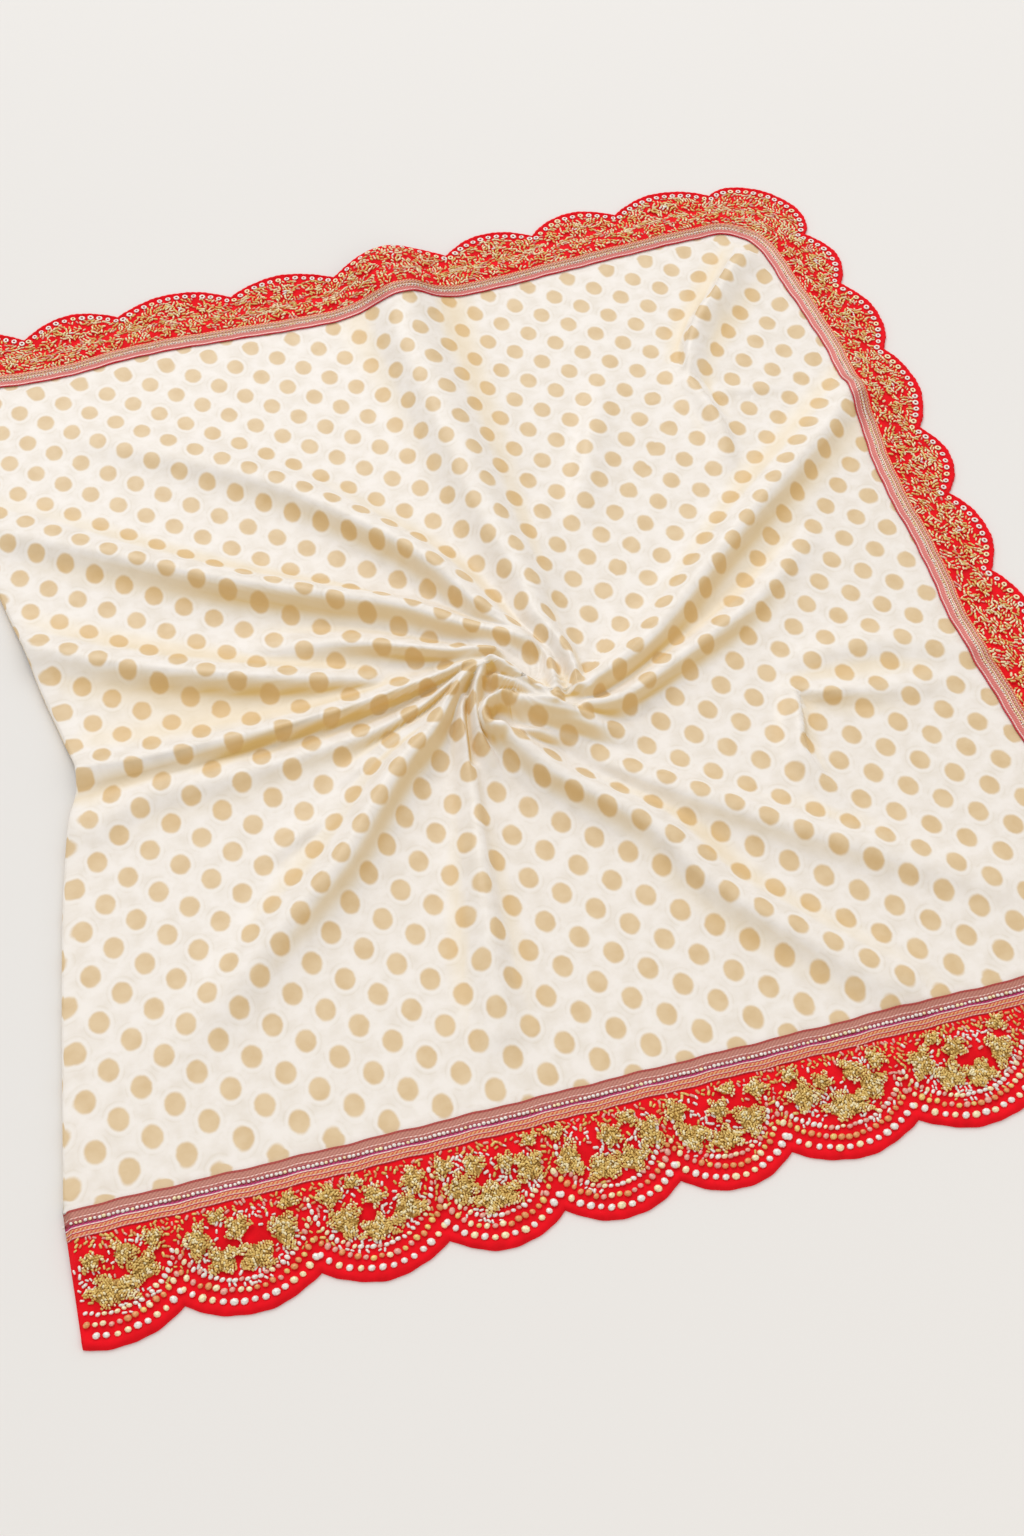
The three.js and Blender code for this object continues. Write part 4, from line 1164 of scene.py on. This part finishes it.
# one padded leaf or flower: short coils close together inside its petalled outline
def leafCoils(s0, d0, long, wide, spin, petals):
    work, fine = nearWork, nearWork["apart"]
    phase = random.uniform(0, 2 * math.pi)
    gx, gy = np.meshgrid(np.arange(-long / 2 - 2, long / 2 + 2, fine),
                         np.arange(-wide / 2 - 2, wide / 2 + 2, fine * 0.87))
    gx = gx + (np.arange(gx.shape[0]) % 2)[:, None] * fine / 2
    gx = (gx + random.uniform(-0.45, 0.45, gx.shape)).ravel()
    gy = (gy + random.uniform(-0.45, 0.45, gy.shape)).ravel()
    angle = np.arctan2(gy / wide, gx / long)
    outline = 1 + 0.24 * np.cos(petals * angle + phase) + 0.06 * np.sin(9 * angle + phase)
    reach = np.hypot(gx / long, gy / wide) * 2 / outline
    s = s0 + gx * math.cos(spin) - gy * math.sin(spin)
    d = d0 + gx * math.sin(spin) + gy * math.cos(spin)
    ok = (reach < 1) & (s > work["ends"][0]) & (s < nearLimit) & (d > 26)
    s, d, angle, reach = s[ok], d[ok], angle[ok], reach[ok]
    lift = 0.6 + work["padHigh"] * np.sqrt(np.clip(1 - reach ** 2.4, 0, 1))
    lift = lift + random.uniform(-0.3, 0.4, len(s))
    # coils in the seams between petals sit lower, and their tone is darkened there as painted shade
    sunkShadedSeam = (np.cos(petals * angle + phase) < -0.78) & (reach > 0.3)
    pick = random.choice(["khaki", "khaki", "gold", "gold", "gold", "light", "light"], len(s))
    tone = np.clip(toneOf(pick) - 0.2 * sunkShadedSeam, 0, 1)
    size = np.array(work["coil"]) * random.uniform(0.75, 1.2, (len(s), 1))
    turned = angle + spin + random.uniform(-0.9, 0.9, len(s))
    coils = copiesOf(coilBase, placesOn("near", s, d), turned, size, lift - 1.1 * sunkShadedSeam, tone)
    return coils, np.stack([s, d], axis=1)


# padded leaves and flowers, with the places that their coils take
def goldLeaves():
    pads, sets, taken = [], [], []
    for k, arc in enumerate(nearScallops):
        flip = -1 if k % 2 else 1
        for u, fromSeam, long, wide, turned, petals in nearWork["layouts"][k % 3]:
            s0 = arc["s"] + flip * u + random.uniform(-1.5, 1.5)
            d0 = fromSeam + 0.5 + random.uniform(-1, 1)
            if not 6 < s0 < nearLimit - 4:
                continue
            spin = math.radians(flip * turned) + random.uniform(-0.15, 0.15)
            coils, places = leafCoils(s0, d0, long, wide, spin, petals)
            pads.append((s0, d0, long, wide, spin))
            sets.append(coils)
            taken.append(places)
    s, d, long, wide, spin = np.array(pads).T
    share, high = nearWork["padShare"], np.full(len(s), 1.7 * nearWork["padHigh"])
    sets.append(copiesOf(padBase, placesOn("near", s, d), spin,
                         np.stack([long * share, wide * share, high], axis=1), 0.1, tones["antique"]))
    return sewnPiece("goldLeafWork", sets, wire), np.vstack(taken)


# silver curls, copper dots and odd coils in the red between the leaves and the beads
def looseCoils(taken):
    work = nearWork
    s = random.uniform(4, nearLimit, work["looseTries"])
    d = random.uniform(24, 88, work["looseTries"])
    keep = s < cornerAfter["near"]["lastCusp"] + denseWork["from"]["near"]
    for arc in nearScallops:
        u, v = s - arc["s"], d - arc["deep"]
        here = np.abs(u) < arc["half"]
        wedge = (np.abs(u) > arc["half"] - 8.5) & (v < 12)
        outside = (np.hypot(u, v) > arc["radius"] - 21.5) & ~wedge
        band = np.abs(np.hypot(u, v) - arc["radius"] + 26.5) < 2.8
        keep &= ~(here & (outside | band))
    s, d = s[keep], d[keep]
    kept = spreadOut(np.vstack([taken, np.stack([s, d], axis=1)]), work["looseApart"] / 2)
    free = kept[kept >= len(taken)] - len(taken)
    free = free[spreadOut(np.stack([s[free], d[free]], axis=1), work["looseApart"] * 0.62)]
    s, d = s[free], d[free]
    curl = np.sin(s / 9.0 + 2 * np.sin(d / 7.0)) * 2.4 + random.uniform(-0.8, 0.8, len(s))
    cluster = np.sin(s / 13.0 + 1) * np.cos(d / 9.0) + 0.4 * random.uniform(-1, 1, len(s))
    atCusp = np.min([np.abs(s - c) for c in borders["near"]["cusps"]], axis=0) < 9
    dots = random.choice(["copper", "gold", "khaki", "rose"], len(s))
    curls = random.choice(["silver", "khaki", "gold", "rose"], len(s))
    kinds = np.where(atCusp | (d < 31), dots, np.where(cluster > 0.1, "silver", curls))
    use = (cluster >= -0.1) | atCusp | (d <= 33)
    s, d, curl, kinds = s[use], d[use], curl[use], kinds[use]
    size = np.array(work["looseCoil"]) * random.uniform(0.7, 1.2, (len(s), 1))
    coils = copiesOf(coilBase, placesOn("near", s, d), curl, size, 0.55, toneOf(kinds))
    return sewnPiece("looseCoilsNear", [coils], wire)


# the end and far borders' work: flowers and vines of short coils close together over all of
# the red, with one row of ring beads inside the rim; it starts on the near border's last few
# centimetres, where the corner begins
denseWork = {
    "apart": {"near": 2.8, "end": 2.8, "far": 2.85}, "from": {"near": 3.0, "end": 0.2, "far": 0.2},
    # more tries than fit, because the strip fans out round a corner
    "tries": {"near": 9000, "end": 52000, "far": 52000},
    "coil": (4.7, 2.3, 2.2), "ring": (6.6, 5.8, 4.0), "ringInset": 8.2, "ringPitch": 9.0,
    # flowers: place from the scallop's middle, depth from its heart or from the braid, radius
    "heart": 30.0, "hearts": [(0, 1, 12.5), (-29, -4, 9.0), (29, -4, 9.0)],
    "byBraid": [(-14, 9, 8.0), (15, 9, 8.0), (-43, 13, 8.0)],
}


def coilField(name, start):
    work, border = denseWork, borders[name]
    s = random.uniform(start, lines[name].length - 0.2, work["tries"][name])
    d = random.uniform(0, 1, work["tries"][name])
    seam, edge = seamAndEdge(name, s)
    deep = np.linalg.norm(edge - seam, axis=1)
    d = border["braid"] + 0.8 + d * (deep - 13.0 - border["braid"])
    kept = spreadOut(mix(seam, edge, (d / deep)[:, None]), work["apart"][name])
    s, d = s[kept], d[kept]
    spin = np.arctan2(np.cos(s / 17.0), 1.0) + 0.9 * np.sin(d / 5.0 + s / 11.0)
    high = np.full(len(s), 0.6)
    gap = np.zeros(len(s), bool)
    picks = random.choice(["gold", "khaki", "copper", "light", "gold", "light", "rose", "light"], len(s))
    for k, arc in enumerate(scallopsOf(name)):
        heart = arc["deep"] + arc["radius"] - work["heart"]
        flowers = [(u, heart + v, radius) for u, v, radius in work["hearts"]]
        flowers += [(u, border["braid"] + v, radius) for u, v, radius in work["byBraid"]]
        for u, v, radius in flowers:
            x, y = s - arc["s"] - u - 2 * math.sin(k * 2.1 + u), d - v
            r, angle = np.hypot(x, y), np.arctan2(y, x)
            petal = radius * (1 + 0.2 * np.cos(5 * angle + k))
            inside = r < petal
            spin = np.where(inside, angle + 0.5 * np.sin(7 * angle), spin)
            high = np.where(inside, 0.6 + 1.5 * np.sqrt(np.clip(1 - (r / petal) ** 2, 0, 1)), high)
            picks = np.where(inside, random.choice(["gold", "gold", "light", "light"], len(s)), picks)
            picks = np.where(r < radius * 0.25, "silver" if radius > 9 else "copper", picks)
            gap |= (r > petal) & (r < petal + 1.9)
    # a vine of gaps and light coils winds between the flowers
    vine = np.sin(s / 6.3 + 2.2 * np.sin(d / 8.0)) * np.sin(d / 4.4 + 1.3 * np.sin(s / 15.0))
    gap |= (vine > 0.62) & (high < 0.7)
    picks = np.where((vine < -0.66) & (high < 0.7), "light", picks)
    s, d, spin, high, picks = s[~gap], d[~gap], spin[~gap], high[~gap], picks[~gap]
    size = np.array(work["coil"]) * random.uniform(0.75, 1.25, (len(s), 1))
    spin = spin + random.uniform(-0.5, 0.5, len(s))
    coils = copiesOf(coilBase, placesOn(name, s, d), spin, size, high, toneOf(picks))
    return sewnPiece(f"coilWork{name.capitalize()}", [coils], wire)


# ring beads that follow the rim
def ringRow(name, start):
    work, stations = denseWork, stationsOf(name, 1.0)
    _, edge = seamAndEdge(name, stations)
    run = runAlong(edge)
    s = np.interp(np.arange(4, run[-1] - 3, work["ringPitch"]), run, stations)
    s = s[s > start]
    inset = work["ringInset"] + random.uniform(-0.5, 0.5, len(s))
    size = np.array(work["ring"]) * random.uniform(0.85, 1.1, (len(s), 1))
    tone = mostlySilver(len(s), 0.75)
    places = placesOn(name, s, inset, True)
    rings = copiesOf(ringBase, places, random.uniform(-1, 1, len(s)), size, 0.9, tone)
    return sewnPiece(f"ringBeads{name.capitalize()}", [rings], wire)


trims["near"].append(scallopBeads())
leafWork, leafPlaces = goldLeaves()
trims["near"] += [leafWork, looseCoils(leafPlaces)]
for name in ("end", "far", "near"):
    start = denseWork["from"][name] + (cornerAfter[name]["lastCusp"] if name == "near" else 0)
    trims[name] += [coilField(name, start), ringRow(name, start)]


# rows of small beads sewn along the braids
braidBeads = {"near": {"at": 9.8, "pitch": 3.5, "size": (3.1, 2.7, 2.4)},
              "end": {"at": 7.3, "pitch": 2.8, "size": (2.2, 1.7, 1.5)},
              "far": {"at": 7.6, "pitch": 2.8, "size": (2.2, 1.7, 1.5)}}


def beadRow(name):
    row, stations = braidBeads[name], stationsOf(name, 2.0)
    seam, _ = seamAndEdge(name, stations)
    run = runAlong(seam)
    marks = np.arange(2, run[-1] - 2, row["pitch"])
    s = np.interp(marks + random.uniform(-0.3, 0.3, len(marks)), run, stations)
    size = np.array(row["size"]) * random.uniform(0.85, 1.15, (len(s), 1))
    tone = mostlySilver(len(s), 0.8)
    places = placesOn(name, s, row["at"] + random.uniform(-0.3, 0.3, len(s)))
    spin = random.uniform(-0.5, 0.5, len(s))
    beads = copiesOf(beadBase, places, spin, size, size[:, 2] * 0.3 + 0.5, tone)
    return sewnPiece(f"braidBeads{name.capitalize()}", [beads], wire)


for name in borders:
    trims[name].append(beadRow(name))


# the rest of the length, folded beneath: layers with rounded edges, stepped in towards the top
folded = {"layers": 3, "step": 3.5, "underBorder": 10.0, "leftInset": 22.0, "points": 70, "gap": 0.05,
          "uneven": 0.7, "halfRound": [0.0, 0.12, 0.4, 0.75, 1.0], "toMiddle": 0.45, "offTable": 0.02}


# the outline of the layers: inside the borders, and a little in from the soft fold
def foldedOutline():
    parts, inset, points = [], folded["leftInset"], folded["points"]
    for name in ("near", "end", "far"):
        start = inset if name == "near" else 0
        end = lines[name].length - (inset if name == "far" else 0)
        out = borders[name]["offLayers"] - folded["underBorder"]
        parts.append(lines[name].beside(np.linspace(start, end, points), out))
    x, y, _, _ = lines["fold"].at(np.linspace(0, lines["fold"].length, points + 2)[1:-1])
    return np.vstack([*parts, np.stack([x + inset, y], axis=1)])


def foldedSilk(material):
    outline = foldedOutline()
    away = np.linalg.norm(outline, axis=1)
    towards = -outline / away[:, None]
    around = len(outline)
    pitch = lay["layersHigh"] / folded["layers"]
    thick = pitch - folded["gap"]
    run = runAlong(outline)
    i, after = np.arange(around), (np.arange(around) + 1) % around
    spots, quads, fans, start = [], [], [], 0
    for k in range(folded["layers"]):
        base = k * pitch + folded["offTable"]
        waver = folded["uneven"] * (np.sin(run / 41 + 2 * k) + 0.6 * np.sin(run / 17 + k)) + folded["uneven"]
        # rows from the middle of the under face, round the edge, to the middle of the upper face
        rows = [(away * folded["toMiddle"], 0.0)]
        for q in folded["halfRound"]:
            inset = thick / 2 * (1 - math.sin(math.pi * q))
            rows.append((folded["step"] * k + inset + waver, thick / 2 * (1 - math.cos(math.pi * q))))
        rows.append((away * folded["toMiddle"], thick))
        for inset, high in rows:
            spot = outline + towards * inset[:, None]
            spots.append(np.column_stack([spot, np.full(around, base + high)]))
        spots.append(np.array([[0, 0, base], [0, 0, base + thick]]))
        for row in range(len(rows) - 1):
            a = start + row * around
            quads.append(np.stack([a + i, a + after, a + around + after, a + around + i], axis=1))
        last = start + (len(rows) - 1) * around
        hub = start + len(rows) * around
        fans += [np.stack([np.full(around, hub), start + after, start + i], axis=1),
                 np.stack([np.full(around, hub + 1), last + i, last + after], axis=1)]
        start = hub + 2
    spots = np.vstack(spots)
    piece = meshOf("foldedSilk", spots, np.vstack(quads), np.vstack(fans), spots[:, :2] * mm)
    return settle(piece, material, "folded_length")


print("stage: folded layers")
foldedObject = foldedSilk(silkObject.data.materials[0])


# camera where the photo was taken from, found from the even rows of dots
view = {
    "focal": 2040.0, "imageHeight": 1536.0, "sensorHeight": 36.0,
    "elevation": 53.65, "turn": -15.08, "away": 1768.8, "aim": (-25.0, -142.0),
    "floor": 14.0,
}


def setCamera():
    data = bpy.data.cameras.new("camera")
    data.sensor_fit = "VERTICAL"
    data.sensor_height = view["sensorHeight"]
    data.lens = view["sensorHeight"] * view["focal"] / view["imageHeight"]
    data.clip_end = 50
    camera = bpy.data.objects.new("camera", data)
    bpy.context.scene.collection.objects.link(camera)
    turn, tilt = math.radians(view["turn"]), math.radians(view["elevation"])
    towards = Vector((-math.sin(turn) * math.cos(tilt), math.cos(turn) * math.cos(tilt), -math.sin(tilt)))
    aim = Vector((view["aim"][0] + lay["toOrigin"][0], view["aim"][1] + lay["toOrigin"][1], 0)) * mm
    camera.location = aim - towards * view["away"] * mm
    camera.rotation_euler = towards.to_track_quat("-Z", "Y").to_euler()
    bpy.context.scene.camera = camera


# an even soft light: a broad one far away, which lights near and far alike, over a pale room
studio = {
    "floor": "E8E6E3", "room": "FBFAF9", "roomStrength": 0.712,
    "broadLight": {"from": (-0.35, 2.2, 2.3), "strength": 1.08, "spread": 32.0, "tone": "FFFDFB"},
    "farLight": {"place": (0.7, 3.0, 2.2), "aim": (0.2, 0.9, 0), "size": (2.4, 1.4), "power": 19.0,
                 "tone": "FFFFFF"},
    "warmFill": {"place": (0.9, -2.8, 1.3), "aim": (0, 0, 0), "size": (2.4, 1.4), "power": 8.0,
                 "tone": "FFEDD4"},
}


def aimLight(name, data, place, aim):
    light = bpy.data.objects.new(name, data)
    light.location = place
    light.rotation_euler = (Vector(aim) - Vector(place)).to_track_quat("-Z", "Y").to_euler()
    bpy.context.scene.collection.objects.link(light)


def addArea(name, what):
    data = bpy.data.lights.new(name, "AREA")
    data.shape = "RECTANGLE"
    data.size, data.size_y = what["size"]
    data.energy = what["power"]
    data.color = hexToLinear(what["tone"])[:3]
    aimLight(name, data, what["place"], what["aim"])


def setStudio():
    bpy.ops.object.select_all(action="DESELECT")
    bpy.ops.mesh.primitive_plane_add(size=view["floor"])
    floor = bpy.context.object
    floor.name = "floor"
    material, _, _ = newMaterial("paleFloor", {
        "Base Color": studio["floor"], "Roughness": 0.9, "Specular IOR Level": 0.2})
    floor.data.materials.append(material)
    world = bpy.data.worlds.new("studio")
    bpy.context.scene.world = world
    world.use_nodes = True
    background = world.node_tree.nodes["Background"]
    background.inputs["Color"].default_value = hexToLinear(studio["room"])
    background.inputs["Strength"].default_value = studio["roomStrength"]
    broad = bpy.data.lights.new("broadLight", "SUN")
    broad.energy = studio["broadLight"]["strength"]
    broad.angle = math.radians(studio["broadLight"]["spread"])
    broad.color = hexToLinear(studio["broadLight"]["tone"])[:3]
    aimLight("broadLight", broad, studio["broadLight"]["from"], (0, 0, 0))
    addArea("farLight", studio["farLight"])
    addArea("warmFill", studio["warmFill"])
    bpy.context.scene.view_settings.view_transform = "Standard"


print("stage: camera and light")
setCamera()
setStudio()
